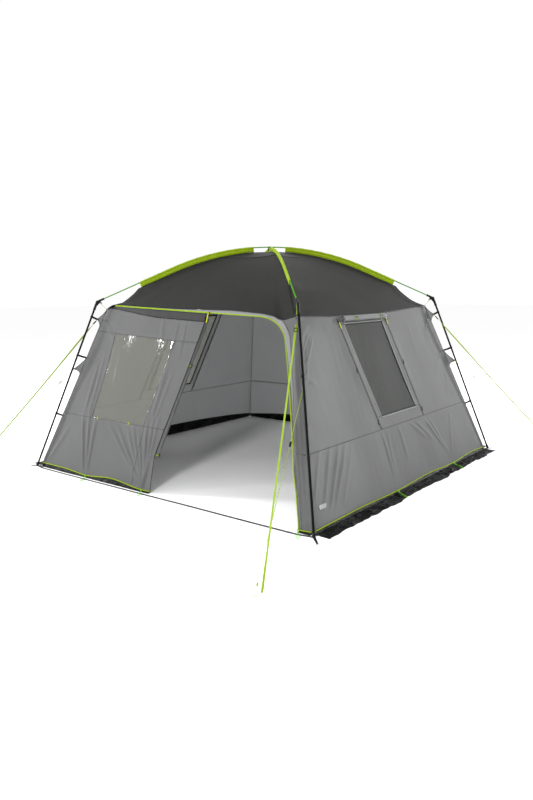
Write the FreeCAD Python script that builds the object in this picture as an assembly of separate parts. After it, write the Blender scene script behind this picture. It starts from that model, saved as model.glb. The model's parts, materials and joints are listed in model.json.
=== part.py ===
import FreeCAD, Part
import math
import os

# Camping pavilion: a square shelter with sloping fabric walls and a dome roof hung under
# two crossed fibreglass poles. Four steel legs lean outward and plug into plastic elbows.
# Millimetres, +Z up. The origin is on the ground, in the middle of the four feet.
# The door wall faces -Y and the big window wall faces +X.

V = FreeCAD.Vector
ORIGIN = V(0, 0, 0)
UP = V(0, 0, 1)

# ---- driving dimensions -------------------------------------------------------------
FOOT_HALF = 1745.0          # leg foot, from the centre, along X and along Y
ELBOW_HALF = 1253.7         # elbow corner, from the centre, along X and along Y
ELBOW_Z = 1689.0
APEX_Z = 2228.0             # axis of the upper roof pole at the crossing
POLE_CROSS_GAP = 14.5       # the lower pole crosses this far below the upper one
POLE_END_ANGLE = 23.3       # slope of both straight pole ends, degrees
POLE_D = 11.0
POLE_BORE_D = 7.0
SHOCK_CORD_D = 3.0
POLE_SECTIONS = 7
POLE_END_GAP = 15.0         # from the elbow corner to the pole's end
FERRULE_D = 13.5
FERRULE_BORE_D = 11.2
FERRULE_LENGTH = 60.0

LEG_D = 19.0
LEG_WALL = 1.0
LEG_SECTIONS = 3
LEG_TOP_GAP = 18.0          # from the elbow corner to the leg's end
SPIGOT_LENGTH = 55.0        # swaged end of a leg tube, inside the next tube
SPIGOT_COLLAR = 3.0         # where the swaged end meets the full tube
SPIGOT_PLAY = 0.2
FOOT_CAP_D = 25.0
FOOT_CAP_LENGTH = 42.0

CLOTH = 3.0                 # thickness given to wall and roof cloth
GAP = 0.5                   # clearance between neighbouring soft pieces
WALL_FOOT_HALF = 1714.0     # wall plane at the ground, from the centre
WALL_SLOPE = 0.3269         # inward lean of every wall, per unit of height
CANOPY_DROP = 45.0          # canopy ridge below the pole's axis
EAVE_CORNER_Z = 1600.0
SEAM_Z = 547.0              # horizontal seam round all the walls
HEM_Z = {"window": 24.0, "door": 24.0, "left": 90.0, "back": 90.0}
FLAP_REACH = 150.0          # mud flap, outward from the hem
DOOR_FLAP_REACH = 22.0      # the same on the door side, where people walk

WINDOW_TOP_Z = 1490.0
WINDOW_SILL_Z = 656.0
WINDOW_LEFT_AT_TOP = -515.0
WINDOW_WIDTH = 680.0
WINDOW_LEAN = 0.262         # sideways lean of the slanted window, per unit of height
WINDOW_BORDER = 86.0        # from the mesh to the side zips

ZIP_WIDTH = 8.0
ZIP_HEIGHT = 3.0
ZIP_CLEARANCE = 1.0         # from the zip to the cloth on each side of it
SLIDER_HALF_WIDTH = 7.0
PIPING_D = 8.0
BAND_WIDTH = 16.0
BAND_THICKNESS = 2.0
GUY_D = 4.0
RUNNER_BORE_D = 5.0

# ---- the four corners and four walls --------------------------------------------------
# A corner part is drawn in the XZ plane, with X running out along the base's diagonal,
# and a wall part is drawn on the +X side, with Y running along the wall. Both are then
# turned about Z to their places.
CORNER_ANGLE = {"left": 225.0, "front": 315.0, "right": 45.0, "back": 135.0}
SIDE_ANGLE = {"window": 0.0, "back": 90.0, "left": 180.0, "door": 270.0}
ROOT2 = math.sqrt(2.0)

# Points of each eave between its two corners: place along the wall, height.
EAVE_POINTS = {
    "door": [(-1060.0, 1668.0), (900.0, 1603.0)],
    "window": [(-600.0, 1570.0), (400.0, 1567.0)],
    "left": [(-400.0, 1570.0), (400.0, 1570.0)],
    "back": [(-400.0, 1580.0), (400.0, 1580.0)],
}

# The door's zip: a straight run under the eave, a rounded corner, then down the jamb.
DOOR_ZIP_START = (-1060.0, 1648.0)
DOOR_ZIP_END = (800.0, 1576.0)
JAMB_WIDTH = 128.0
JAMB_TOP_Z = 1400.0
ZIP_KNEE_IN = 25.0          # the rounded corner's control point, in from the jamb
ZIP_KNEE_DROP = 8.0         # and below the end of the straight run
DOOR_SLIDER_S = 237.0
ROLL_TOP = (214.0, 1560.0)
ROLL_TIE = (-92.0, 316.0)
ROLL_SHIFT_TOP = -34.0      # the rolled part lies this far behind the leaf's edge
ROLL_SHIFT_TIE = -10.0
DOOR_TIES = (0.34, 0.985)   # places of the ties, as shares of the roll's length
WINDOW_TIES = (0.26, 0.86)
LEAF_TOP_S = 190.0
LEAF_FOOT_S = -60.0
ROLL_RADIUS = 30.0
WINDOW_ROLL_RADIUS = 27.0
WINDOW_ROLL_RISE = 40.0     # above the window's top edge
WINDOW_ROLL_OVERHANG = 44.0
TIE_ROOM = 3.0              # room round a roll for the loops that tie it

# The clear pane in the door leaf: (along, height) at its four corners.
PANE = [(-985.0, 1380.0), (-133.0, 1342.0), (-313.0, 562.0), (-1072.0, 562.0)]

PANE_STRIP = 15.0           # cloth between the pane and the horizontal seam

# Straps from the leg to the wall corner: height on the leg, height on the wall or tab.
STRAPS = [(1538.0, 1512.0, 1782.0), (1150.0, 1122.0, 1914.0), (552.0, 528.0, 2183.0)]
# Guy tabs on each corner seam: top, bottom and tip heights, tip distance.
TABS = [(1596.0, 1440.0, 1512.0, 1780.0), (1122.0, 957.0, 1006.0, 2040.0)]
TAB_TIP_SHIFT = 16.0

# Ground point that both guys of a corner run to, and the side their tabs lean to.
ANCHORS = {
    "left": (-2400.0, -2040.0, -1),
    "front": (2050.0, -2750.0, -1),
    "right": (2430.0, 2040.0, -1),
    "back": (-2400.0, 2040.0, 1),
}
RUNNER_PLACE = {"left": 0.14, "front": 0.30, "right": 0.18, "back": 0.18}

PEG_LOOPS = {
    "door": [-975.0, -165.0, 1575.0],
    "window": [-370.0, 860.0],
    "back": [-600.0, 600.0],
    "left": [-600.0, 600.0],
}


# ---- small helpers --------------------------------------------------------------------
def save(name, solids):
    shape = solids[0] if len(solids) == 1 else Part.makeCompound(solids)
    shape.exportStep("parts/%s.step" % name)


def turned(shape, angle):
    copy = shape.copy()
    copy.rotate(ORIGIN, UP, angle)
    return copy


def turned_point(point, angle):
    return FreeCAD.Rotation(UP, angle).multVec(point)


def prism(points, vector):
    return Part.Face(Part.makePolygon(points + [points[0]])).extrude(vector)


def rod(start, end, diameter, bore=0.0):
    direction = end - start
    solid = Part.makeCylinder(diameter / 2, direction.Length, start, direction)
    if bore:
        solid = solid.cut(Part.makeCylinder(bore / 2, direction.Length, start, direction))
    return solid


def placed(shape, origin, along, outward):
    """Move a shape drawn with X along and Z outward to a place in the model."""
    x_axis = V(along).normalize()
    y_axis = outward.cross(x_axis).normalize()
    z_axis = x_axis.cross(y_axis)
    matrix = FreeCAD.Matrix(
        x_axis.x, y_axis.x, z_axis.x, origin.x,
        x_axis.y, y_axis.y, z_axis.y, origin.y,
        x_axis.z, y_axis.z, z_axis.z, origin.z,
        0, 0, 0, 1,
    )
    return shape.transformed(matrix)


def on_line(start, end, value, axis=1):
    """Point on a (along, height) line at a given height, or at a given place along it."""
    share = (value - start[axis]) / (end[axis] - start[axis])
    return (start[0] + share * (end[0] - start[0]), start[1] + share * (end[1] - start[1]))


# ---- wall geometry --------------------------------------------------------------------
WALL_NORMAL = V(1, 0, WALL_SLOPE).normalize()


def wall_half(z):
    return WALL_FOOT_HALF - WALL_SLOPE * z


def wall_point(s, z, lift=0.0):
    """Point on the +X wall, lifted outward along the wall's normal."""
    return V(wall_half(z), s, z) + WALL_NORMAL * lift


def wall_edge(side, z):
    """Half width of a wall at a height. Two walls stop short of the other two."""
    trim = CLOTH + GAP if side in ("window", "left") else 0.0
    return wall_half(z) - trim


def panel(points, lift=0.0, thickness=CLOTH):
    """Flat cloth panel from (along, height) points on the +X wall."""
    corners = [V(wall_half(z) + lift, s, z) for s, z in points]
    return prism(corners, V(-thickness, 0, 0))


def eave_line(side):
    end = wall_edge(side, EAVE_CORNER_Z)
    return [(-end, EAVE_CORNER_Z)] + EAVE_POINTS[side] + [(end, EAVE_CORNER_Z)]


def eave_z(side, s):
    line = eave_line(side)
    for start, end in zip(line, line[1:]):
        if start[0] <= s <= end[0]:
            return on_line(start, end, s, 0)[1] - CLOTH - GAP
    return EAVE_CORNER_Z - CLOTH - GAP


def eave_run(side, low, high):
    """Top edge of a panel: its two ends and the eave points between them."""
    middle = [p[0] for p in EAVE_POINTS[side] if low < p[0] < high]
    return [(s, eave_z(side, s)) for s in [low] + middle + [high]]


# ---- roof poles -----------------------------------------------------------------------
class PoleLine:
    """Half of a roof pole's axis in the XZ plane: an arc, then a straight end."""

    def __init__(self, apex_z, offset=0.0):
        angle = math.radians(POLE_END_ANGLE)
        reach = ELBOW_HALF * ROOT2
        drop = apex_z - ELBOW_Z
        axis_radius = (reach * math.tan(angle) - drop) / (1 / math.cos(angle) - 1)
        self.centre_z = apex_z - axis_radius
        self.radius = axis_radius - offset
        self.angle = angle
        self.arc = self.radius * angle
        self.length = self.arc + (reach - axis_radius * math.sin(angle)) / math.cos(angle)

    def point(self, s):
        turn = min(s, self.arc) / self.radius
        rest = max(s - self.arc, 0.0)
        x = self.radius * math.sin(turn) + rest * math.cos(self.angle)
        z = self.centre_z + self.radius * math.cos(turn) - rest * math.sin(self.angle)
        return V(x, 0, z)

    def at_reach(self, x):
        """Length along the line where it is x from the centre."""
        if x <= self.radius * math.sin(self.angle):
            return self.radius * math.asin(x / self.radius)
        return self.arc + (x - self.radius * math.sin(self.angle)) / math.cos(self.angle)

    def direction(self, s):
        turn = min(s, self.arc) / self.radius
        return V(math.cos(turn), 0, -math.sin(turn))

    def wire(self, start, end):
        edges = []
        if start < self.arc:
            stop = min(end, self.arc)
            middle = self.point_signed((start + stop) / 2)
            edges.append(Part.Arc(self.point_signed(start), middle, self.point(stop)).toShape())
        if end > self.arc:
            begin = max(start, self.arc)
            edges.append(Part.LineSegment(self.point(begin), self.point(end)).toShape())
        return Part.Wire(edges)

    def point_signed(self, s):
        point = self.point(abs(s))
        return V(math.copysign(point.x, s), 0, point.z)

    def tube(self, start, end, diameter, bore=0.0):
        centre = self.point_signed(start)
        axis = self.direction(abs(start))
        if start < 0:
            axis.z = -axis.z
        path = self.wire(start, end)
        solid = path.makePipe(disc(centre, axis, diameter))
        if bore:
            solid = solid.cut(path.makePipe(disc(centre, axis, bore)))
        return solid


def disc(centre, axis, diameter):
    return Part.Face(Part.Wire(Part.Circle(centre, axis, diameter / 2).toShape()))


def both_ways(solids):
    return solids + [turned(solid, 180) for solid in solids]


def pole_sections(line, angle):
    section = 2 * (line.length - POLE_END_GAP) / POLE_SECTIONS
    solids = [line.tube(-section / 2, section / 2, POLE_D, POLE_BORE_D)]
    outer = []
    for index in range(POLE_SECTIONS // 2):
        start = section * (index + 0.5)
        outer.append(line.tube(start, start + section, POLE_D, POLE_BORE_D))
    return [turned(solid, angle) for solid in solids + both_ways(outer)]


def pole_ferrules(line, angle):
    section = 2 * (line.length - POLE_END_GAP) / POLE_SECTIONS
    rings = []
    for index in range(POLE_SECTIONS // 2):
        joint = section * (index + 0.5)
        half = FERRULE_LENGTH / 2
        rings.append(line.tube(joint - half, joint + half, FERRULE_D, FERRULE_BORE_D))
    return [turned(ring, angle) for ring in both_ways(rings)]


def pole_shock_cord(line, angle):
    reach = line.length - POLE_END_GAP
    half = line.tube(0, reach, SHOCK_CORD_D)
    return turned(half.fuse(turned(half, 180)).removeSplitter(), angle)


UPPER_POLE = PoleLine(APEX_Z)
LOWER_POLE = PoleLine(APEX_Z - POLE_CROSS_GAP)
POLE_OF = {"left": UPPER_POLE, "right": UPPER_POLE, "front": LOWER_POLE, "back": LOWER_POLE}


def make_poles():
    save("roof_pole_left_right", pole_sections(UPPER_POLE, CORNER_ANGLE["right"]))
    save("roof_pole_front_back", pole_sections(LOWER_POLE, CORNER_ANGLE["front"]))
    rings = pole_ferrules(UPPER_POLE, CORNER_ANGLE["right"])
    save("pole_ferrules", rings + pole_ferrules(LOWER_POLE, CORNER_ANGLE["front"]))
    cords = [
        pole_shock_cord(UPPER_POLE, CORNER_ANGLE["right"]),
        pole_shock_cord(LOWER_POLE, CORNER_ANGLE["front"]),
    ]
    save("pole_shock_cords", cords)


def make_apex_tie():
    """Webbing loop round both poles where they cross."""
    inner_half = 17.0
    wall = 2.5
    half_width = 6.0
    top = APEX_Z + POLE_D / 2 + 1.0
    bottom = APEX_Z - CANOPY_DROP + 8.0
    outer = Part.makeBox(
        2 * (inner_half + wall), 2 * half_width, top - bottom + 2 * wall,
        V(-inner_half - wall, -half_width, bottom - wall),
    )
    inner = Part.makeBox(
        2 * inner_half, 2 * half_width, top - bottom, V(-inner_half, -half_width, bottom)
    )
    save("apex_tie", [outer.cut(inner)])


# ---- pole sleeves ---------------------------------------------------------------------
SLEEVE_HOLE_D = 15.0
SLEEVE_HALF_WIDTH = 9.0
SLEEVE_END_REACH = 1340.0
SLEEVE_START = {"left": 166.0, "right": 166.0, "front": 24.0, "back": 24.0}


def sleeve(corner):
    line = POLE_OF[corner]
    start = line.at_reach(SLEEVE_START[corner])
    end = line.at_reach(SLEEVE_END_REACH)
    centre = line.point(start)
    along = line.direction(start)
    normal = V(-along.z, 0, along.x)
    across = V(0, 1, 0)
    floor_drop = CANOPY_DROP - CLOTH
    if line is LOWER_POLE:
        floor_drop -= POLE_CROSS_GAP
    half = across * SLEEVE_HALF_WIDTH
    top = centre + normal * SLEEVE_HALF_WIDTH
    low = centre - normal * floor_drop
    outline = [top - half, top + half, low + half, low - half]
    face = Part.Face(Part.makePolygon(outline + [outline[0]]))
    path = line.wire(start, end)
    solid = path.makePipe(face).cut(path.makePipe(disc(centre, along, SLEEVE_HOLE_D)))
    return turned(solid, CORNER_ANGLE[corner])


def make_sleeves():
    save("pole_sleeves", [sleeve(corner) for corner in CORNER_ANGLE])


# ---- elbows and legs ------------------------------------------------------------------
ELBOW_POINT = V(ELBOW_HALF * ROOT2, 0, ELBOW_Z)
FOOT_POINT = V(FOOT_HALF * ROOT2, 0, 0)
LEG_DOWN = (FOOT_POINT - ELBOW_POINT).normalize()
POLE_IN = V(-math.cos(math.radians(POLE_END_ANGLE)), 0, math.sin(math.radians(POLE_END_ANGLE)))
ELBOW_POLE_ARM = 78.0
ELBOW_LEG_ARM = 88.0
ELBOW_POLE_D = 21.0
ELBOW_LEG_D = 26.0
ELBOW_WEB = 9.0
TIE_HOLE = V(-38.0, 0, -14.0)     # from the elbow corner to the tie hole in its web


def make_elbow(corner):
    pole_end = ELBOW_POINT + POLE_IN * ELBOW_POLE_ARM
    leg_end = ELBOW_POINT + LEG_DOWN * ELBOW_LEG_ARM
    body = rod(ELBOW_POINT, pole_end, ELBOW_POLE_D)
    body = body.fuse(rod(ELBOW_POINT, leg_end, ELBOW_LEG_D))
    body = body.fuse(Part.makeSphere(ELBOW_LEG_D / 2, ELBOW_POINT))
    web_points = [
        ELBOW_POINT + V(0, -ELBOW_WEB / 2, 0),
        ELBOW_POINT + POLE_IN * (ELBOW_POLE_ARM - 8) + V(0, -ELBOW_WEB / 2, 0),
        ELBOW_POINT + LEG_DOWN * (ELBOW_LEG_ARM - 8) + V(0, -ELBOW_WEB / 2, 0),
    ]
    body = body.fuse(prism(web_points, V(0, ELBOW_WEB, 0)))
    hole_at = ELBOW_POINT + TIE_HOLE + V(0, -ELBOW_WEB, 0)
    body = body.cut(Part.makeCylinder(6.0, 2 * ELBOW_WEB, hole_at, V(0, 1, 0)))
    pole_bore = rod(ELBOW_POINT + POLE_IN * POLE_END_GAP, pole_end + POLE_IN, POLE_D + 0.4)
    leg_bore = rod(ELBOW_POINT + LEG_DOWN * LEG_TOP_GAP, leg_end + LEG_DOWN, LEG_D + 0.4)
    body = body.cut(pole_bore).cut(leg_bore).removeSplitter()
    save("elbow_" + corner, [turned(body, CORNER_ANGLE[corner])])


def leg_tube(start, length, has_spigot):
    """One leg tube. Its lower end is swaged down to plug into the tube below."""
    end = start + LEG_DOWN * length
    tube = rod(start, end, LEG_D, LEG_D - 2 * LEG_WALL)
    if not has_spigot:
        return tube
    spigot_d = LEG_D - 2 * LEG_WALL - SPIGOT_PLAY
    tip = end + LEG_DOWN * SPIGOT_LENGTH
    collar_top = end - LEG_DOWN * SPIGOT_COLLAR
    spigot = rod(end, tip, spigot_d).fuse(rod(collar_top, end, LEG_D - LEG_WALL))
    bore = rod(collar_top - LEG_DOWN, tip + LEG_DOWN, spigot_d - 2 * LEG_WALL)
    return tube.fuse(spigot.cut(bore)).removeSplitter()


def make_leg(corner):
    bottom_gap = 12.0
    run = (FOOT_POINT - ELBOW_POINT).Length - LEG_TOP_GAP - bottom_gap
    length = run / LEG_SECTIONS
    tubes = []
    for index in range(LEG_SECTIONS):
        start = ELBOW_POINT + LEG_DOWN * (LEG_TOP_GAP + index * length)
        has_spigot = index < LEG_SECTIONS - 1
        tubes.append(turned(leg_tube(start, length, has_spigot), CORNER_ANGLE[corner]))
    save("leg_" + corner, tubes)


def foot_cap():
    """Plastic cap on the leg's end, cut flat where it stands on the ground."""
    top = FOOT_POINT - LEG_DOWN * FOOT_CAP_LENGTH
    below = FOOT_POINT + LEG_DOWN * FOOT_CAP_D
    cap = rod(top, below, FOOT_CAP_D)
    bore_end = FOOT_POINT - LEG_DOWN * 12.0
    cap = cap.cut(rod(top - LEG_DOWN, bore_end, LEG_D + 0.2))
    size = 4 * FOOT_CAP_D
    ground = Part.makeBox(size, size, size, V(FOOT_POINT.x - size / 2, -size / 2, -size))
    return cap.cut(ground)


def make_foot_caps():
    save("foot_caps", [turned(foot_cap(), angle) for angle in CORNER_ANGLE.values()])


# ---- foot rings and straps on the legs --------------------------------------------------
RING_REACH = 168.0          # outermost point of the pegging ring, from the foot's centre
RING_HOLE_RADIUS = 12.0
RING_RIM = 5.0
RING_THICKNESS = 4.0
RING_TAB_START = 16.0       # from the foot's centre
RING_TAB_HALF = 28.0        # half width at the foot, and at the ring
RING_TAB_TIP_HALF = 8.0
RING_TAB_THICKNESS = 2.5
WEB_LIFT = 0.3              # webbing that lies on the ground, off the ground plane


def foot_ring():
    """Triangular webbing tab under the foot with a steel pegging ring at its tip."""
    ring_radius = RING_HOLE_RADIUS + RING_RIM
    begin = FOOT_POINT.x + RING_TAB_START
    tip = FOOT_POINT.x + RING_REACH - 2 * ring_radius - GAP
    outline = [(begin, -RING_TAB_HALF), (begin, RING_TAB_HALF)]
    outline += [(tip, RING_TAB_TIP_HALF), (tip, -RING_TAB_TIP_HALF)]
    tab = prism([V(x, y, WEB_LIFT) for x, y in outline], V(0, 0, RING_TAB_THICKNESS))
    centre = V(FOOT_POINT.x + RING_REACH - ring_radius, 0, 0)
    ring = rod(centre, centre + UP * RING_THICKNESS, 2 * ring_radius, 2 * RING_HOLE_RADIUS)
    return [tab, ring]


def make_foot_rings():
    solids = []
    for angle in CORNER_ANGLE.values():
        solids += [turned(piece, angle) for piece in foot_ring()]
    save("foot_rings", solids)


def leg_point(z):
    share = (ELBOW_Z - z) / ELBOW_Z
    return ELBOW_POINT + (FOOT_POINT - ELBOW_POINT) * share


def leg_strap(leg_z, wall_z, wall_r):
    """Webbing loop round the leg, with a short strap back to the wall's corner."""
    centre = leg_point(leg_z)
    half = LEG_DOWN * 9.0
    loop = rod(centre - half, centre + half, LEG_D + 5, LEG_D + 0.6)
    wall_at = V(wall_r + 1.0, 0, wall_z)
    inner = centre + (wall_at - centre).normalize() * (LEG_D / 2 + 1.5)
    rise = LEG_DOWN * 8.0
    points = [wall_at - rise, wall_at + rise, inner + rise, inner - rise]
    strap = prism([p - V(0, 1.2, 0) for p in points], V(0, 2.4, 0))
    return loop.fuse(strap).removeSplitter()


def make_leg_straps():
    solids = []
    for angle in CORNER_ANGLE.values():
        solids += [turned(leg_strap(*strap), angle) for strap in STRAPS]
    save("leg_straps", solids)


def tab_tip(corner, tab):
    shift = TAB_TIP_SHIFT * ANCHORS[corner][2]
    return V(tab[3], shift, tab[2])


def guy_tab(corner, tab):
    """Cloth triangle on the corner seam. Its tip leans to the side the guy runs to."""
    top = V(wall_half(tab[0]) * ROOT2 + 4.0, 0, tab[0])
    bottom = V(wall_half(tab[1]) * ROOT2 + 4.0, 0, tab[1])
    tip = tab_tip(corner, tab)
    normal = (top - tip).cross(bottom - tip).normalize()
    solid = prism([top, bottom, tip], normal * 2.0)
    return turned(solid, CORNER_ANGLE[corner])


def make_guy_tabs():
    save("corner_guy_tabs", [guy_tab(corner, tab) for corner in CORNER_ANGLE for tab in TABS])


# ---- canopy ---------------------------------------------------------------------------
def ridge_points():
    """Canopy ridge in a diagonal plane: under the pole, then free down to the corner."""
    line = PoleLine(APEX_Z, CANOPY_DROP)
    points = []
    for share in (0.0, 1 / 3, 2 / 3, 1.0):
        point = line.point(line.arc * share)
        points.append((point.x, point.z))
    end = line.at_reach(SLEEVE_END_REACH)
    points.append((SLEEVE_END_REACH, line.point(end).z))
    points.append((1500.0, 1688.0))
    points.append((wall_half(EAVE_CORNER_Z) * ROOT2, EAVE_CORNER_Z))
    return points


def gore(side):
    """One quarter of the roof: level strips between two ridges, then the eave strip."""
    down = V(0, 0, -CLOTH)
    ridge = [(r / ROOT2, z) for r, z in ridge_points()]
    solids = []
    for (near, high), (far, low) in zip(ridge, ridge[1:-1]):
        corners = [V(near, -near, high), V(far, -far, low), V(far, far, low), V(near, near, high)]
        if near < 1.0:
            corners = corners[:3]
        solids.append(prism(corners, down))
    half, height = ridge[-2]
    left, right = V(half, -half, height), V(half, half, height)
    corner_half, corner_z = ridge[-1]
    middle = [V(wall_half(z), s, z) for s, z in EAVE_POINTS[side]]
    eave = [V(corner_half, -corner_half, corner_z)] + middle + [V(corner_half, corner_half, corner_z)]
    solids.append(prism([left, eave[0], eave[1]], down))
    solids.append(prism([left, eave[1], right], down))
    solids.append(prism([right, eave[1], eave[2]], down))
    solids.append(prism([right, eave[2], eave[3]], down))
    return [turned(solid, SIDE_ANGLE[side]) for solid in solids]


def make_canopy():
    solids = []
    for side in SIDE_ANGLE:
        solids += gore(side)
    save("canopy", solids)


def make_corner_cords():
    """Elastic cord from the hole in each elbow down to the canopy's corner."""
    start = ELBOW_POINT + TIE_HOLE
    end = V(wall_half(EAVE_CORNER_Z) * ROOT2 + 4.0, 0, EAVE_CORNER_Z + 3.0)
    cord = rod(start, end, 4.0)
    save("canopy_corner_cords", [turned(cord, angle) for angle in CORNER_ANGLE.values()])


# ---- walls ----------------------------------------------------------------------------
def lower_panels(side, joints):
    """Panels between the hem and the horizontal seam, split at the given places."""
    hem = HEM_Z[side]
    low = [-wall_edge(side, hem)] + joints + [wall_edge(side, hem)]
    high = [-wall_edge(side, SEAM_Z)] + joints + [wall_edge(side, SEAM_Z)]
    panels = []
    for index in range(len(low) - 1):
        panels.append(panel([
            (low[index], hem), (low[index + 1], hem),
            (high[index + 1], SEAM_Z), (high[index], SEAM_Z),
        ]))
    return panels


def zip_meets_eave(side, offset):
    """Height at which a slanted side zip reaches the eave."""
    z = EAVE_CORNER_Z
    for _ in range(20):
        z = eave_z(side, window_edge(z, offset))
    return z


def window_edge(z, offset):
    """Place along the wall of a line parallel to the window's slanted left edge."""
    return WINDOW_LEFT_AT_TOP + offset + WINDOW_LEAN * (WINDOW_TOP_Z - z)


def window_panels(side):
    """Upper wall panels round the slanted mesh window."""
    left_zip, right_zip = -WINDOW_BORDER, WINDOW_WIDTH + WINDOW_BORDER
    left_top = window_edge(zip_meets_eave(side, left_zip), left_zip)
    right_top = window_edge(zip_meets_eave(side, right_zip), right_zip)
    edge = wall_edge(side, SEAM_Z)
    top_edge = wall_edge(side, EAVE_CORNER_Z)
    outer_left = [(-edge, SEAM_Z), (window_edge(SEAM_Z, left_zip), SEAM_Z)]
    outer_left += reversed(eave_run(side, -top_edge, left_top))
    outer_right = [(window_edge(SEAM_Z, right_zip), SEAM_Z), (edge, SEAM_Z)]
    outer_right += reversed(eave_run(side, right_top, top_edge))
    panels = [panel(outer_left), panel(outer_right)]
    panels.append(panel([
        (window_edge(SEAM_Z, left_zip), SEAM_Z), (window_edge(SEAM_Z, right_zip), SEAM_Z),
        (window_edge(WINDOW_SILL_Z, right_zip), WINDOW_SILL_Z),
        (window_edge(WINDOW_SILL_Z, left_zip), WINDOW_SILL_Z),
    ]))
    for inner, outer in [(left_zip, 0.0), (WINDOW_WIDTH, right_zip)]:
        panels.append(panel([
            (window_edge(WINDOW_SILL_Z, inner), WINDOW_SILL_Z),
            (window_edge(WINDOW_SILL_Z, outer), WINDOW_SILL_Z),
            (window_edge(WINDOW_TOP_Z, outer), WINDOW_TOP_Z),
            (window_edge(WINDOW_TOP_Z, inner), WINDOW_TOP_Z),
        ]))
    head = [(window_edge(WINDOW_TOP_Z, left_zip), WINDOW_TOP_Z)]
    head.append((window_edge(WINDOW_TOP_Z, right_zip), WINDOW_TOP_Z))
    head += reversed(eave_run(side, left_top, right_top))
    panels.append(panel(head))
    return panels


def make_window_wall(side, name):
    seam_joint = window_edge(SEAM_Z, -WINDOW_BORDER)
    panels = lower_panels(side, [seam_joint]) + window_panels(side)
    save(name, [turned(solid, SIDE_ANGLE[side]) for solid in panels])


def make_back_wall():
    side = "back"
    edge = wall_edge(side, SEAM_Z)
    panels = lower_panels(side, [])
    upper = [(-edge, SEAM_Z), (edge, SEAM_Z)]
    upper += reversed(eave_run(side, -wall_edge(side, EAVE_CORNER_Z), wall_edge(side, EAVE_CORNER_Z)))
    panels.append(panel(upper))
    save("back_wall", [turned(solid, SIDE_ANGLE[side]) for solid in panels])


def make_mesh_windows():
    inset = 1.0
    outline = [
        (window_edge(WINDOW_SILL_Z + inset, inset), WINDOW_SILL_Z + inset),
        (window_edge(WINDOW_SILL_Z + inset, WINDOW_WIDTH - inset), WINDOW_SILL_Z + inset),
        (window_edge(WINDOW_TOP_Z - inset, WINDOW_WIDTH - inset), WINDOW_TOP_Z - inset),
        (window_edge(WINDOW_TOP_Z - inset, inset), WINDOW_TOP_Z - inset),
    ]
    mesh = panel(outline, lift=-0.5, thickness=1.5)
    save("mesh_windows", [turned(mesh, SIDE_ANGLE[side]) for side in ("window", "left")])


def window_roll_span():
    """Height of a window's rolled flap, and the places along the wall of its two ends."""
    z = WINDOW_TOP_Z + WINDOW_ROLL_RISE
    return z, window_edge(z, -WINDOW_ROLL_OVERHANG), window_edge(z, WINDOW_WIDTH + WINDOW_ROLL_OVERHANG)


def window_roll():
    """Zipped-off window flap, rolled up along the top of the window."""
    z, low, high = window_roll_span()
    lift = WINDOW_ROLL_RADIUS + TIE_ROOM
    return rod(wall_point(low, z, lift), wall_point(high, z, lift), 2 * WINDOW_ROLL_RADIUS)


def make_window_rolls():
    save("window_flap_rolls", [turned(window_roll(), SIDE_ANGLE[s]) for s in ("window", "left")])


# ---- door wall ------------------------------------------------------------------------
def zip_z(s):
    return on_line(DOOR_ZIP_START, DOOR_ZIP_END, s, 0)[1]


def jamb_s(z):
    return wall_half(z) - JAMB_WIDTH


def zip_corner(margin, steps=4):
    """Rounded corner of the door zip, from the straight run to the jamb."""
    start, end = DOOR_ZIP_END, (jamb_s(JAMB_TOP_Z), JAMB_TOP_Z)
    apex = (jamb_s(zip_z(DOOR_ZIP_END[0])) - ZIP_KNEE_IN, DOOR_ZIP_END[1] - ZIP_KNEE_DROP)
    points = []
    for step in range(steps + 1):
        t = step / steps
        s = (1 - t) ** 2 * start[0] + 2 * t * (1 - t) * apex[0] + t * t * end[0]
        z = (1 - t) ** 2 * start[1] + 2 * t * (1 - t) * apex[1] + t * t * end[1]
        points.append((s + margin * t, z + margin * (1 - t)))
    return points


def make_door_surround():
    """Cloth left in place round the door: a strip under the eave and the right jamb."""
    gap = ZIP_WIDTH / 2 + ZIP_CLEARANCE
    side = "door"
    start, end = DOOR_ZIP_START[0], DOOR_ZIP_END[0]
    strip = [(start, zip_z(start) + gap), (end, zip_z(end) + gap)]
    panels = [panel(strip + list(reversed(eave_run(side, start, end))))]
    # The first half of the rounded corner lies under the eave, and the second half is
    # joined to the wall's own corner.
    curve = zip_corner(gap)
    knee = curve[len(curve) // 2]
    level, steep = curve[:len(curve) // 2 + 1], curve[len(curve) // 2:]
    for low, high in zip(level, level[1:]):
        panels.append(panel([low, high] + list(reversed(eave_run(side, low[0], high[0])))))
    corner = (wall_half(EAVE_CORNER_Z), eave_z(side, wall_half(EAVE_CORNER_Z)))
    panels.append(panel([knee, corner, (knee[0], eave_z(side, knee[0]))]))
    for low, high in zip(steep, steep[1:]):
        panels.append(panel([low, high, corner]))
    panels.append(panel([steep[-1], (wall_half(JAMB_TOP_Z), JAMB_TOP_Z), corner]))
    for high, low in [(JAMB_TOP_Z, SEAM_Z), (SEAM_Z, HEM_Z[side])]:
        panels.append(panel([
            (jamb_s(low) + gap, low), (wall_half(low), low),
            (wall_half(high), high), (jamb_s(high) + gap, high),
        ]))
    save("door_surround", [turned(solid, SIDE_ANGLE[side]) for solid in panels])


def roll_s(z):
    """Right edge of the door leaf, along the rolled-up part of the door."""
    return on_line(ROLL_TIE, ROLL_TOP, z)[0]


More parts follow.
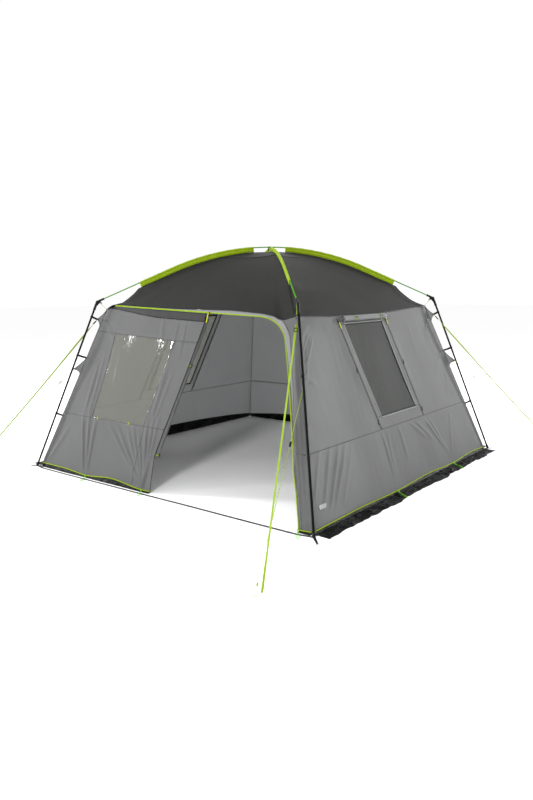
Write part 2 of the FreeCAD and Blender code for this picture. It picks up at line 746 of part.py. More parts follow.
def make_door_leaf():
    """Closed part of the door wall, round its clear pane."""
    gap = ZIP_WIDTH / 2 + ZIP_CLEARANCE
    side = "door"
    top_left, top_right, low_right, low_left = PANE
    start = DOOR_ZIP_START[0]
    left_top = on_line(top_left, top_right, -wall_half(top_left[1]), 0)
    right_top = on_line(top_left, top_right, roll_s(top_right[1]), 0)
    head_z = zip_z(LEAF_TOP_S) - gap
    above = [left_top, right_top, (roll_s(head_z), head_z)]
    above.append((start, zip_z(start) - gap))
    above.append((-wall_half(EAVE_CORNER_Z), EAVE_CORNER_Z - CLOTH - GAP))
    sill = SEAM_Z + PANE_STRIP
    left = [left_top, top_left, (low_left[0], sill), (-wall_half(sill), sill)]
    right = [top_right, right_top, (roll_s(sill), sill), low_right]
    strip = [(-wall_half(sill), sill), (roll_s(sill), sill)]
    strip += [(roll_s(SEAM_Z), SEAM_Z), (-wall_half(SEAM_Z), SEAM_Z)]
    tie_z = ROLL_TIE[1]
    middle = [(-wall_half(SEAM_Z), SEAM_Z), (roll_s(SEAM_Z), SEAM_Z)]
    middle += [(roll_s(tie_z), tie_z), (-wall_half(tie_z), tie_z)]
    hem = HEM_Z[side]
    below = [(-wall_half(tie_z), tie_z), (roll_s(tie_z), tie_z), (LEAF_FOOT_S, hem), (-wall_half(hem), hem)]
    panels = [panel(points) for points in (above, left, right, strip, middle, below)]
    save("door_leaf", [turned(solid, SIDE_ANGLE[side]) for solid in panels])


def make_door_pane():
    inset = 1.0
    (ax, az), (bx, bz), (cx, cz), (dx, dz) = PANE
    outline = [(ax + inset, az - inset), (bx - inset, bz - inset)]
    outline += [(cx - inset, cz + inset), (dx + inset, dz + inset)]
    pane = panel(outline, lift=-1.0, thickness=1.0)
    save("pvc_window", [turned(pane, SIDE_ANGLE["door"])])


def door_roll_ends():
    depth = -(ROLL_RADIUS + CLOTH + TIE_ROOM)
    start = wall_point(ROLL_TOP[0] + ROLL_SHIFT_TOP, ROLL_TOP[1], depth)
    end = wall_point(ROLL_TIE[0] + ROLL_SHIFT_TIE, ROLL_TIE[1], depth)
    return start, end


def make_door_roll():
    """Unzipped part of the door, rolled up and tied behind the leaf's edge."""
    start, end = door_roll_ends()
    save("door_roll", [turned(rod(start, end, 2 * ROLL_RADIUS), SIDE_ANGLE["door"])])


def make_rain_flap():
    """Dark flap sewn under the eave, over the top of the closed door leaf."""
    left, right = -1150.0, 206.0
    depth = 80.0
    under = SLIDER_HALF_WIDTH + 1.5
    points = [(left, EAVE_CORNER_Z - 16.0), (right, zip_z(right) - depth)]
    points += [(right, zip_z(right) - under), (DOOR_ZIP_START[0], zip_z(DOOR_ZIP_START[0]) - under)]
    flap = panel(points, lift=1.5 + GAP, thickness=1.5)
    save("door_rain_flap", [turned(flap, SIDE_ANGLE["door"])])


# ---- zips -----------------------------------------------------------------------------
ZIP_LIFT = 0.4


def zip_strip(start, end):
    """Straight zip chain lying on the wall between two (along, height) points."""
    a, b = wall_point(start[0], start[1], ZIP_LIFT), wall_point(end[0], end[1], ZIP_LIFT)
    length = (b - a).Length
    bar = Part.makeBox(length, ZIP_WIDTH, ZIP_HEIGHT, V(0, -ZIP_WIDTH / 2, 0))
    return placed(bar, a, b - a, WALL_NORMAL)


def make_door_zip():
    curve = zip_corner(0.0)
    path = [DOOR_ZIP_START] + curve + [(jamb_s(HEM_Z["door"] + 8.0), HEM_Z["door"] + 8.0)]
    strips = [zip_strip(a, b) for a, b in zip(path, path[1:])]
    chain = strips[0].fuse(strips[1:]).removeSplitter()
    save("door_zip_track", [turned(solid, SIDE_ANGLE["door"]) for solid in chain.Solids])


def window_zip_point(offset, z):
    return (window_edge(z, offset), z)


WINDOW_ZIP_TOP_Z = 1536.0
WINDOW_ZIP_LOW_Z = SEAM_Z + 10.0
WINDOW_SLIDER_Z = 1508.0


def make_window_zips():
    strips = []
    for side in ("window", "left"):
        for offset in (-WINDOW_BORDER, WINDOW_WIDTH + WINDOW_BORDER):
            top = window_zip_point(offset, WINDOW_ZIP_TOP_Z)
            low = window_zip_point(offset, WINDOW_ZIP_LOW_Z)
            strips.append(turned(zip_strip(top, low), SIDE_ANGLE[side]))
    save("window_zip_tracks", strips)


SLIDER_LENGTH = 22.0
SLIDER_TOP = 7.5
BAR_HEIGHT = 10.5
BAR_D = 2.4
EYE_D = 5.4
EYE_BORE_D = 3.2
POST_INNER = 4.2
POST_OUTER = 6.0


def slider_body(bar_turn):
    """Zip slider astride the chain. X runs along the chain and Z points outward."""
    block = Part.makeBox(
        SLIDER_LENGTH, 2 * SLIDER_HALF_WIDTH, SLIDER_TOP - ZIP_LIFT,
        V(-SLIDER_LENGTH / 2, -SLIDER_HALF_WIDTH, ZIP_LIFT),
    )
    channel_half = ZIP_WIDTH / 2 + 0.6
    channel = Part.makeBox(
        SLIDER_LENGTH, 2 * channel_half, ZIP_HEIGHT + 0.6,
        V(-SLIDER_LENGTH / 2, -channel_half, ZIP_LIFT - 0.1),
    )
    block = block.cut(channel)
    bar_half = POST_INNER + 0.5
    bridge = Part.makeCylinder(BAR_D / 2, 2 * bar_half, V(0, -bar_half, BAR_HEIGHT), V(0, 1, 0))
    for low in (-POST_OUTER, POST_INNER):
        width = POST_OUTER - POST_INNER
        post_height = BAR_HEIGHT + BAR_D - SLIDER_TOP + 0.5
        post = Part.makeBox(4.4, width, post_height, V(-2.2, low, SLIDER_TOP - 0.5))
        bridge = bridge.fuse(post)
    bridge.rotate(ORIGIN, UP, bar_turn)
    return block.fuse(bridge).removeSplitter()


def pull_tab(length, width):
    """Pull with an eye on the slider's bar. It hangs along -X."""
    half = POST_INNER - 0.6
    centre = V(0, -half, BAR_HEIGHT)
    eye = Part.makeCylinder(EYE_D / 2, 2 * half, centre, V(0, 1, 0))
    neck = Part.makeBox(14.0, 2 * half, 1.8, V(-16.0, -half, BAR_HEIGHT - 0.9))
    tag = Part.makeBox(length - 14.0, width, 1.8, V(-length, -width / 2, BAR_HEIGHT - 0.9))
    bore = Part.makeCylinder(EYE_BORE_D / 2, 2 * half, centre, V(0, 1, 0))
    return eye.fuse([neck, tag]).cut(bore).removeSplitter()


def save_slider(name, side, place, along, pull_length, bar_turn=0.0):
    """Write a slider and its pull, and print the joint places that belong to them."""
    origin = wall_point(place[0], place[1])
    turn_pull = FreeCAD.Rotation(UP, bar_turn)
    pull = pull_tab(pull_length, 9.0)
    pull.rotate(ORIGIN, UP, bar_turn)
    angle = SIDE_ANGLE[side]
    save(name + "_slider", [turned(placed(slider_body(bar_turn), origin, along, WALL_NORMAL), angle)])
    save(name + "_pull", [turned(placed(pull, origin, along, WALL_NORMAL), angle)])
    x_axis = V(along).normalize()
    y_axis = WALL_NORMAL.cross(x_axis).normalize()
    bar = turn_pull.multVec(V(0, 1, 0))
    hinge = x_axis * bar.x + y_axis * bar.y
    pivot = origin + WALL_NORMAL * BAR_HEIGHT
    report(name + " travel", turned_point(x_axis, angle))
    report(name + " hinge axis", turned_point(hinge, angle))
    report(name + " hinge place, m", turned_point(pivot, angle) * 0.001)


def report(label, vector):
    print("%-34s %9.5f %9.5f %9.5f" % (label, vector.x, vector.y, vector.z))


def make_sliders():
    run = wall_point(*DOOR_ZIP_END) - wall_point(*DOOR_ZIP_START)
    place = (DOOR_SLIDER_S, zip_z(DOOR_SLIDER_S))
    save_slider("door_zip", "door", place, run, 92.0, bar_turn=90.0)
    for side, wall_name in (("window", "right"), ("left", "left")):
        for offset, place_name in ((-WINDOW_BORDER, "a"), (WINDOW_WIDTH + WINDOW_BORDER, "b")):
            top = window_zip_point(offset, WINDOW_ZIP_TOP_Z)
            low = window_zip_point(offset, WINDOW_ZIP_LOW_Z)
            run = wall_point(*top) - wall_point(*low)
            place = window_zip_point(offset, WINDOW_SLIDER_Z)
            save_slider("%s_window_%s" % (wall_name, place_name), side, place, run, 62.0)


# ---- toggles --------------------------------------------------------------------------
def ring_round(centre, axis, radius, width):
    half = V(axis).normalize() * (width / 2)
    return rod(centre - half, centre + half, 2 * (radius + 2.0), 2 * (radius + 0.3))


def roll_tie(centre, axis, radius, outward):
    """Loop round a roll and the toggle bar that closes it."""
    loop = ring_round(centre, axis, radius, 10.0)
    bar_at = centre + outward * (radius + 2.3 + 5.0)
    half = V(axis).normalize() * 17.0
    return [loop, rod(bar_at - half, bar_at + half, 10.0)]


def make_toggles():
    solids = []
    start, end = door_roll_ends()
    right = (end - start).cross(WALL_NORMAL).normalize()
    right = right if right.y > 0 else right * -1
    for share in DOOR_TIES:
        ties = roll_tie(start + (end - start) * share, end - start, ROLL_RADIUS, right)
        solids += [turned(piece, SIDE_ANGLE["door"]) for piece in ties]
    z, low, high = window_roll_span()
    for side in ("window", "left"):
        for share in WINDOW_TIES:
            centre = wall_point(low + share * (high - low), z, WINDOW_ROLL_RADIUS + TIE_ROOM)
            ties = roll_tie(centre, V(0, 1, 0), WINDOW_ROLL_RADIUS, WALL_NORMAL)
            solids += [turned(piece, SIDE_ANGLE[side]) for piece in ties]
    save("roll_toggles", solids)


# ---- hem, mud flaps and ground straps -----------------------------------------------------
def hem_runs(side):
    """Places along a wall between which its hem runs."""
    edge = wall_edge(side, HEM_Z[side]) - 6.0
    if side == "door":
        return [(-edge, LEAF_FOOT_S), (jamb_s(HEM_Z[side]) + 6.0, edge)]
    return [(-edge, edge)]


def make_hem_piping():
    cords = []
    for side, angle in SIDE_ANGLE.items():
        z = HEM_Z[side] - PIPING_D / 2 - GAP
        for start, end in hem_runs(side):
            x = wall_half(z) - CLOTH / 2
            cords.append(turned(rod(V(x, start, z), V(x, end, z), PIPING_D), angle))
    save("hem_piping", cords)


def mud_flap(side, start, end, reach):
    """Flap from the hem down to the ground, and then outward along the ground."""
    top = HEM_Z[side] - PIPING_D - 2 * GAP
    x_top = wall_half(top) - CLOTH / 2
    x_low = wall_half(0)
    upright = [(x_top, top), (x_low, CLOTH), (x_low - CLOTH, CLOTH), (x_top - CLOTH, top)]
    flat = [(x_low - CLOTH, CLOTH), (x_low + reach, CLOTH), (x_low + reach, 0), (x_low - CLOTH, 0)]
    length = V(0, end - start, 0)
    return [prism([V(x, start, z) for x, z in outline], length) for outline in (upright, flat)]


def make_mud_flaps():
    solids = []
    for side, angle in SIDE_ANGLE.items():
        for start, end in hem_runs(side):
            reach = DOOR_FLAP_REACH if side == "door" else FLAP_REACH
            solids += [turned(piece, angle) for piece in mud_flap(side, start, end, reach)]
    save("mud_flaps", solids)


def make_base_strap():
    """Webbing between the two front feet, flat on the ground."""
    width, thickness = 25.0, 2.0
    y_front = FOOT_HALF + 22.0
    length = 2 * (FOOT_HALF - 30.0)
    strap = Part.makeBox(length, width, thickness, V(-length / 2, -y_front - width / 2, WEB_LIFT))
    save("base_strap", [strap])


def peg_loop(side, s):
    """Flat webbing loop lying out from the hem over the flap, for a ground peg."""
    start = wall_half(0) + 2.0
    reach = 96.0 if side == "door" else 150.0
    z = CLOTH + 0.4
    outer = Part.makeBox(reach - 20.0, 12.0, 2.0, V(start + 20.0, s - 6.0, z))
    hole = Part.makeBox(26.0, 5.0, 2.0, V(start + reach - 30.0, s - 2.5, z))
    return outer.cut(hole)


def make_peg_loops():
    loops = []
    for side, angle in SIDE_ANGLE.items():
        loops += [turned(peg_loop(side, s), angle) for s in PEG_LOOPS[side]]
    save("peg_loops", loops)


# ---- guys -----------------------------------------------------------------------------
BUCKLE_START = 26.0
BUCKLE_LENGTH = 42.0
GROUND_RING_RADIUS = 14.0
GROUND_RING_WIRE = 4.0
GUY_SIDE_GAP = 42.0         # the thin guy meets the ground this far beside the band


def guy_ends(corner, tab, ground_z, side_shift=0.0):
    """World points of a guy: its tab's tip and its ground point."""
    tip = turned_point(tab_tip(corner, tab), CORNER_ANGLE[corner])
    x, y, _ = ANCHORS[corner]
    ground = V(x, y, ground_z)
    sideways = (ground - tip).cross(UP).normalize()
    return tip, ground + sideways * side_shift


def guy_frame(start, end):
    along = (end - start).normalize()
    across = along.cross(UP).normalize()
    return along, across, across.cross(along)


def make_storm_band(corner):
    start, ground = guy_ends(corner, TABS[0], GROUND_RING_WIRE / 2 + 0.5)
    along, across, outward = guy_frame(start, ground)
    begin = start + along * 3.0
    end = ground - along * (2 * GROUND_RING_RADIUS + 3.0)
    length = (end - begin).Length
    strip = Part.makeBox(length, BAND_WIDTH, BAND_THICKNESS, V(0, -BAND_WIDTH / 2, -BAND_THICKNESS / 2))
    save("storm_band_" + corner, [placed(strip, begin, along, outward)])
    report("storm band %s from, m" % corner, begin * 0.001)
    report("storm band %s to, m" % corner, end * 0.001)
    return band_fittings(start, ground)


def band_fittings(start, ground):
    """Ladder buckle near the tab and the steel ring that the ground peg goes through."""
    along, _, outward = guy_frame(start, ground)
    frame = Part.makeBox(BUCKLE_LENGTH, 30.0, 8.0, V(BUCKLE_START, -15.0, -4.0))
    slot_half = BAND_WIDTH / 2 + 0.8
    slot = Part.makeBox(
        BUCKLE_LENGTH, 2 * slot_half, BAND_THICKNESS + 1.2, V(BUCKLE_START, -slot_half, -1.6)
    )
    buckle = placed(frame.cut(slot), start, along, outward)
    ring_at = ground - along * GROUND_RING_RADIUS
    ring = Part.makeTorus(GROUND_RING_RADIUS, GROUND_RING_WIRE / 2, ring_at, outward)
    return [buckle, ring]


def rounded_route(points, label):
    """Wire through a route: straight runs joined by tangent arcs at its points."""
    edges = []
    last = points[0]
    radii = []
    for before, corner, after in zip(points, points[1:], points[2:]):
        into, out = (corner - before), (after - corner)
        shorter = min(into.Length, out.Length)
        half_turn = into.getAngle(out) / 2
        setback = 0.45 * shorter
        radii.append(setback / math.tan(half_turn))
        into.normalize()
        out.normalize()
        start, end = corner - into * setback, corner + out * setback
        towards = (out - into).normalize()
        depth = radii[-1] * (1 / math.cos(half_turn) - 1)
        edges.append(Part.LineSegment(last, start).toShape())
        edges.append(Part.Arc(start, corner + towards * depth, end).toShape())
        last = end
    edges.append(Part.LineSegment(last, points[-1]).toShape())
    wire = Part.Wire(edges)
    print("%-22s length %.1f radii %s" % (label, wire.Length, [round(r, 1) for r in radii]))
    return wire


# The loop at the ground end: (back from the tip, sideways).
GUY_LOOP = [(82.0, 0.0), (55.0, 12.0), (5.0, 16.0), (5.0, -16.0), (55.0, -12.0), (80.0, -5.5)]


def make_guy_line(corner):
    """Thin guy from the lower tab to a tied loop at the ground, and its runner."""
    shift = GUY_SIDE_GAP
    start, ground = guy_ends(corner, TABS[1], GUY_D / 2 + 0.6, shift)
    along, across, outward = guy_frame(start, ground)
    begin = start + along * 3.0
    route = [begin] + [ground - along * back + across * side for back, side in GUY_LOOP]
    wire = rounded_route(route, "guy_line_" + corner)
    profile = disc(begin, along, GUY_D)
    solid = wire.makePipe(profile)
    expected = wire.Length * math.pi * GUY_D ** 2 / 4
    print("  volume over section times length: %.4f" % (solid.Volume / expected))
    save("guy_line_" + corner, [solid])
    runner_at = begin + along * ((ground - begin).Length * RUNNER_PLACE[corner])
    block = Part.makeBox(44.0, 15.0, 8.0, V(-22.0, -5.0, -4.0))
    block = block.cut(Part.makeCylinder(RUNNER_BORE_D / 2, 44.0, V(-22, 0, 0), V(1, 0, 0)))
    block = block.cut(Part.makeCylinder(2.2, 8.0, V(14.0, 6.0, -4.0), UP))
    save("guy_runner_" + corner, [placed(block, runner_at, along, outward)])
    for index, point in enumerate(route):
        report("guy %s point %d, m" % (corner, index), point * 0.001)
    report("runner %s place, m" % corner, runner_at * 0.001)
    report("runner %s travel" % corner, along)


def make_guys():
    fittings = []
    for corner in CORNER_ANGLE:
        fittings += make_storm_band(corner)
        make_guy_line(corner)
    save("storm_band_fittings", fittings)


def main():
    os.makedirs("parts", exist_ok=True)
    make_poles()
    make_apex_tie()
    make_sleeves()
    for corner in CORNER_ANGLE:
        make_elbow(corner)
        make_leg(corner)
    make_foot_caps()
    make_foot_rings()
    make_leg_straps()
    make_guy_tabs()
    make_canopy()
    make_corner_cords()
    make_window_wall("window", "window_wall")
    make_window_wall("left", "left_wall")
    make_back_wall()
    make_mesh_windows()
    make_window_rolls()
    make_door_surround()
    make_door_leaf()
    make_door_pane()
    make_door_roll()
    make_rain_flap()
    make_door_zip()
    make_window_zips()
    make_sliders()
    make_toggles()
    make_hem_piping()
    make_mud_flaps()
    make_base_strap()
    make_peg_loops()
    make_guys()


main()
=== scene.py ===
import json
import math

import bpy
import numpy as np
from mathutils import Matrix, Vector


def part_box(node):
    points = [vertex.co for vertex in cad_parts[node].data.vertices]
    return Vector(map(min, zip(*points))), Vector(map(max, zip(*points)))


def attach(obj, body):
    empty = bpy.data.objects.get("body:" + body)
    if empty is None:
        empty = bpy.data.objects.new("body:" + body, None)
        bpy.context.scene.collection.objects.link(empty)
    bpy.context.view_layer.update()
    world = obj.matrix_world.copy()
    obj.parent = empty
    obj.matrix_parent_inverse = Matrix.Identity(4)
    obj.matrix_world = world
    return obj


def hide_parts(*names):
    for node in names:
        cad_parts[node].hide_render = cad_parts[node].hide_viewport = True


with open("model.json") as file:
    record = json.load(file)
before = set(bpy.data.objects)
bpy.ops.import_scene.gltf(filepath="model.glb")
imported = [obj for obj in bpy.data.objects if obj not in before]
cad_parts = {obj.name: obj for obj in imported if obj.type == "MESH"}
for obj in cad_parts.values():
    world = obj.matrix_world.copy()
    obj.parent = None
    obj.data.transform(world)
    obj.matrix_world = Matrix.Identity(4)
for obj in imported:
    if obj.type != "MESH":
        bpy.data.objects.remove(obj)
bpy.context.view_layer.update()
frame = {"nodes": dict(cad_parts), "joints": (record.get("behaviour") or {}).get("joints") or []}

# The looks of a camping pavilion round its fixed CAD frame. Metres, +Z up, origin on the ground
# in the middle of the four feet. The door wall faces -Y and the big window wall faces +X.

ROOT = "pavilion"
ROOT2 = math.sqrt(2)
X_AXIS, Y_AXIS, UP = np.eye(3)

# ---- driving dimensions ------------------------------------------------------------------
SIDE_ANGLE = {"window": 0.0, "back": 90.0, "left": 180.0, "door": 270.0}
CORNER_ANGLE = {"left": 225.0, "front": 315.0, "right": 45.0, "back": 135.0}
CORNER_Z = {"left": 1.606, "front": 1.580, "right": 1.602, "back": 1.602}
WALL_FOOT_HALF = 1.714      # wall plane at the ground, from the centre
WALL_SLOPE = 0.3269         # inward lean of every wall, per unit of height
WALL_NORMAL = np.array([1.0, 0.0, WALL_SLOPE]) / math.hypot(1.0, WALL_SLOPE)
SEAM_Z = 0.547              # horizontal seam round all the walls
CLOTH = 0.0010
FOOT = 1.745                # half of the distance between two feet
ELBOW = np.array([1.2537 * ROOT2, 0.0, 1.689])
ELBOW_HOLE = ELBOW + np.array([-0.038, 0.0, -0.014])
FOOT_POINT = np.array([FOOT * ROOT2, 0.0, 0.0])
LEG_DOWN = (FOOT_POINT - ELBOW) / np.linalg.norm(FOOT_POINT - ELBOW)
POLE_SLOPE = math.radians(23.3)
POLE_IN = np.array([-math.cos(POLE_SLOPE), 0.0, math.sin(POLE_SLOPE)])
APEX_Z = 2.228
POLE_CROSS_GAP = 0.0145
CANOPY_DROP = 0.045         # the roof hangs this far under the poles
CANOPY_TOP = APEX_Z - CANOPY_DROP - 0.002
SLEEVE_END = 1.340
CANOPY_REACH = 1.684
CANOPY_FALL = 1.75          # power of the roof's fall from its middle to the eave
CROSS_SEAM = 0.31           # place of the roof's cross seams between its middle and the eave
EAVE_REACH = 1.19           # half of an eave's length

MESH_TOP, MESH_SILL = 1.490, 0.656
MESH_LEFT_AT_TOP, MESH_WIDTH, MESH_LEAN = -0.515, 0.680, 0.262
MESH_BORDER = 0.086
WINDOW_ZIP_TOP, WINDOW_ZIP_LOW = 1.536, 0.557

ZIP_START, ZIP_END = (-1.060, 1.648), (0.800, 1.576)
JAMB_WIDTH, JAMB_TOP = 0.128, 1.400
SLIDER_S = 0.237            # the door zip is closed up to here
ROLL_TOP, ROLL_TIE = (0.214, 1.560), (-0.092, 0.316)
LEAF_FOOT_S = -0.060
PANE = [(-0.985, 1.380), (-0.133, 1.342), (-0.313, 0.562), (-1.072, 0.562)]

# Eave of each wall between its corners: place along the wall, height.
EAVE = {
    "door": [(-1.19, 1.606), (-1.06, 1.657), (-0.6, 1.641), (-0.14, 1.628), (0.40, 1.622),
             (0.77, 1.605), (0.96, 1.582), (1.06, 1.549), (1.13, 1.562), (1.19, 1.580)],
    "window": [(-1.19, 1.580), (-0.9, 1.572), (-0.62, 1.564), (0.0, 1.561), (0.4, 1.574),
               (0.98, 1.600), (1.19, 1.602)],
    "left": [(-1.19, 1.602), (-0.6, 1.576), (0.0, 1.568), (0.6, 1.576), (1.19, 1.606)],
    "back": [(-1.19, 1.602), (-0.6, 1.584), (0.0, 1.578), (0.6, 1.584), (1.19, 1.602)],
}
# Hem of each wall: place along the wall, height.
HEM = {
    "door": [(-1.70, 0.034), (-1.35, 0.034), (-0.975, 0.016), (-0.6, 0.044), (-0.165, 0.014),
             (0.5, 0.030), (1.45, 0.030), (1.575, 0.014), (1.71, 0.020)],
    "window": [(-1.71, 0.020), (-1.0, 0.026), (-0.37, 0.016), (0.25, 0.030), (0.86, 0.016),
               (1.35, 0.034), (1.71, 0.020)],
    "left": [(-1.71, 0.040), (-1.2, 0.086), (-0.5, 0.120), (0.2, 0.130), (1.0, 0.098), (1.71, 0.034)],
    "back": [(-1.71, 0.040), (-1.0, 0.100), (0.0, 0.125), (1.0, 0.098), (1.71, 0.034)],
}


# ---- camera and light --------------------------------------------------------------------
def place_camera():
    azimuth, elevation, roll = (math.radians(v) for v in (38.172, 9.324, -0.539))
    back = Vector((math.sin(azimuth) * math.cos(elevation),
                   -math.cos(azimuth) * math.cos(elevation), math.sin(elevation)))
    right = (-back).cross(Vector((0, 0, 1))).normalized()
    upward = right.cross(-back)
    turned_right = right * math.cos(roll) + upward * math.sin(roll)
    turned_up = upward * math.cos(roll) - right * math.sin(roll)
    camera = bpy.data.objects.new("camera", bpy.data.cameras.new("camera"))
    bpy.context.scene.collection.objects.link(camera)
    camera.data.lens = 30.70
    camera.data.sensor_width = 36.0
    matrix = Matrix((turned_right, turned_up, back)).transposed().to_4x4()
    matrix.translation = Vector((4.42859, -5.70848, 1.81152))
    camera.matrix_world = matrix
    bpy.context.scene.camera = camera


def add_area_light(name, place, target, width, height, power):
    light = bpy.data.lights.new(name, "AREA")
    light.shape = "RECTANGLE"
    light.size, light.size_y = width, height
    light.energy = power
    holder = bpy.data.objects.new(name, light)
    bpy.context.scene.collection.objects.link(holder)
    holder.location = place
    aim = Vector(target) - Vector(place)
    holder.rotation_euler = aim.to_track_quat("-Z", "Y").to_euler()


def light_scene():
    world = bpy.data.worlds.new("studio")
    bpy.context.scene.world = world
    world.use_nodes = True
    background = world.node_tree.nodes["Background"]
    background.inputs["Color"].default_value = (1.0, 1.0, 1.0, 1.0)
    background.inputs["Strength"].default_value = 1.0
    add_area_light("key", (3.4, -9.2, 4.2), (0.8, -0.8, 0.9), 1.4, 1.4, 520.0)
    add_area_light("rake_left", (-8.6, -4.6, 3.4), (-0.6, -1.5, 0.8), 1.3, 1.3, 900.0)
    add_area_light("rake_right", (5.0, 9.5, 3.4), (1.4, 0.0, 0.8), 1.2, 1.2, 1150.0)
    add_area_light("side", (8.0, 4.5, 4.8), (1.4, 0.2, 0.8), 2.0, 2.0, 120.0)
    add_area_light("far", (-6.5, 8.5, 6.0), (-0.6, 0.8, 0.9), 5.0, 5.0, 620.0)
    add_area_light("strip", (-5.6, -7.2, 4.6), (-0.6, -1.3, 1.2), 0.6, 2.0, 90.0)
    bpy.context.scene.view_settings.view_transform = "Standard"
    bpy.context.scene.view_settings.look = "None"


# ---- number helpers ----------------------------------------------------------------------
def unit(v):
    v = np.asarray(v, float)
    return v / np.maximum(np.linalg.norm(v, axis=-1, keepdims=True), 1e-12)


def ease(x, low, high):
    t = np.clip((x - low) / (high - low), 0, 1)
    return t * t * (3 - 2 * t)


def spin(points, degrees):
    """Points turned about the vertical axis."""
    p = np.asarray(points, float)
    c, s = math.cos(math.radians(degrees)), math.sin(math.radians(degrees))
    return np.stack([p[..., 0] * c - p[..., 1] * s, p[..., 0] * s + p[..., 1] * c, p[..., 2]], -1)


def smooth_curve(knots):
    """Function through (x, y) knots, with a continuous slope and no overshoot."""
    x, y = (np.array(v, float) for v in zip(*knots))
    rise = np.diff(y) / np.diff(x)
    before, after = rise[:-1], rise[1:]
    level_out = before * after <= 0
    inner = np.where(level_out, 0.0, 2 * before * after / np.where(level_out, 1.0, before + after))
    slope = np.concatenate([rise[:1], inner, rise[-1:]])

    def at(value):
        value = np.clip(np.asarray(value, float), x[0], x[-1])
        i = np.clip(np.searchsorted(x, value, side="right") - 1, 0, len(x) - 2)
        step = x[i + 1] - x[i]
        t = (value - x[i]) / step
        return ((2 * t ** 3 - 3 * t ** 2 + 1) * y[i] + (t ** 3 - 2 * t ** 2 + t) * step * slope[i]
                + (3 * t ** 2 - 2 * t ** 3) * y[i + 1] + (t ** 3 - t ** 2) * step * slope[i + 1])
    return at


def along_line(points, step):
    """Points about one step apart along a polyline."""
    p = np.asarray(points, float)
    reach = np.concatenate([[0], np.cumsum(np.linalg.norm(np.diff(p, axis=0), axis=1))])
    at = np.linspace(0, reach[-1], max(2, int(round(reach[-1] / step)) + 1))
    return np.stack([np.interp(at, reach, p[:, k]) for k in range(p.shape[1])], 1)


def ripples(x, y, seed, size, count=9):
    """Smooth uneven waves from about -1 to 1, the same each run."""
    rng = np.random.default_rng(seed)
    total = 0.0
    for _ in range(count):
        angle, phase = rng.uniform(0, math.tau, 2)
        k = math.tau / size * rng.uniform(0.6, 1.6)
        total = total + np.sin(k * (x * math.cos(angle) + y * math.sin(angle)) + phase)
    return total / math.sqrt(count) / 1.5


def fold(s, z, start, end, width, depth, spread=0.0):
    """A soft fold line in cloth, fading out at both ends and spreading on its way."""
    (s0, z0), (s1, z1) = start, end
    length = math.hypot(s1 - s0, z1 - z0)
    ds, dz = (s1 - s0) / length, (z1 - z0) / length
    t = ((s - s0) * ds + (z - z0) * dz) / length
    wide = width * (1 + spread * np.clip(t, 0, 1))
    off = ((z - z0) * ds - (s - s0) * dz) / wide
    window = ease(t, -0.04, 0.18) * (1 - ease(t, 0.62, 1.06))
    return depth * window * np.exp(-off ** 2) * (1 - 0.9 * np.clip(off, -1, 1))


# ---- walls -------------------------------------------------------------------------------
EAVE_AT = {side: smooth_curve(knots) for side, knots in EAVE.items()}
HEM_AT = {side: smooth_curve(knots) for side, knots in HEM.items()}
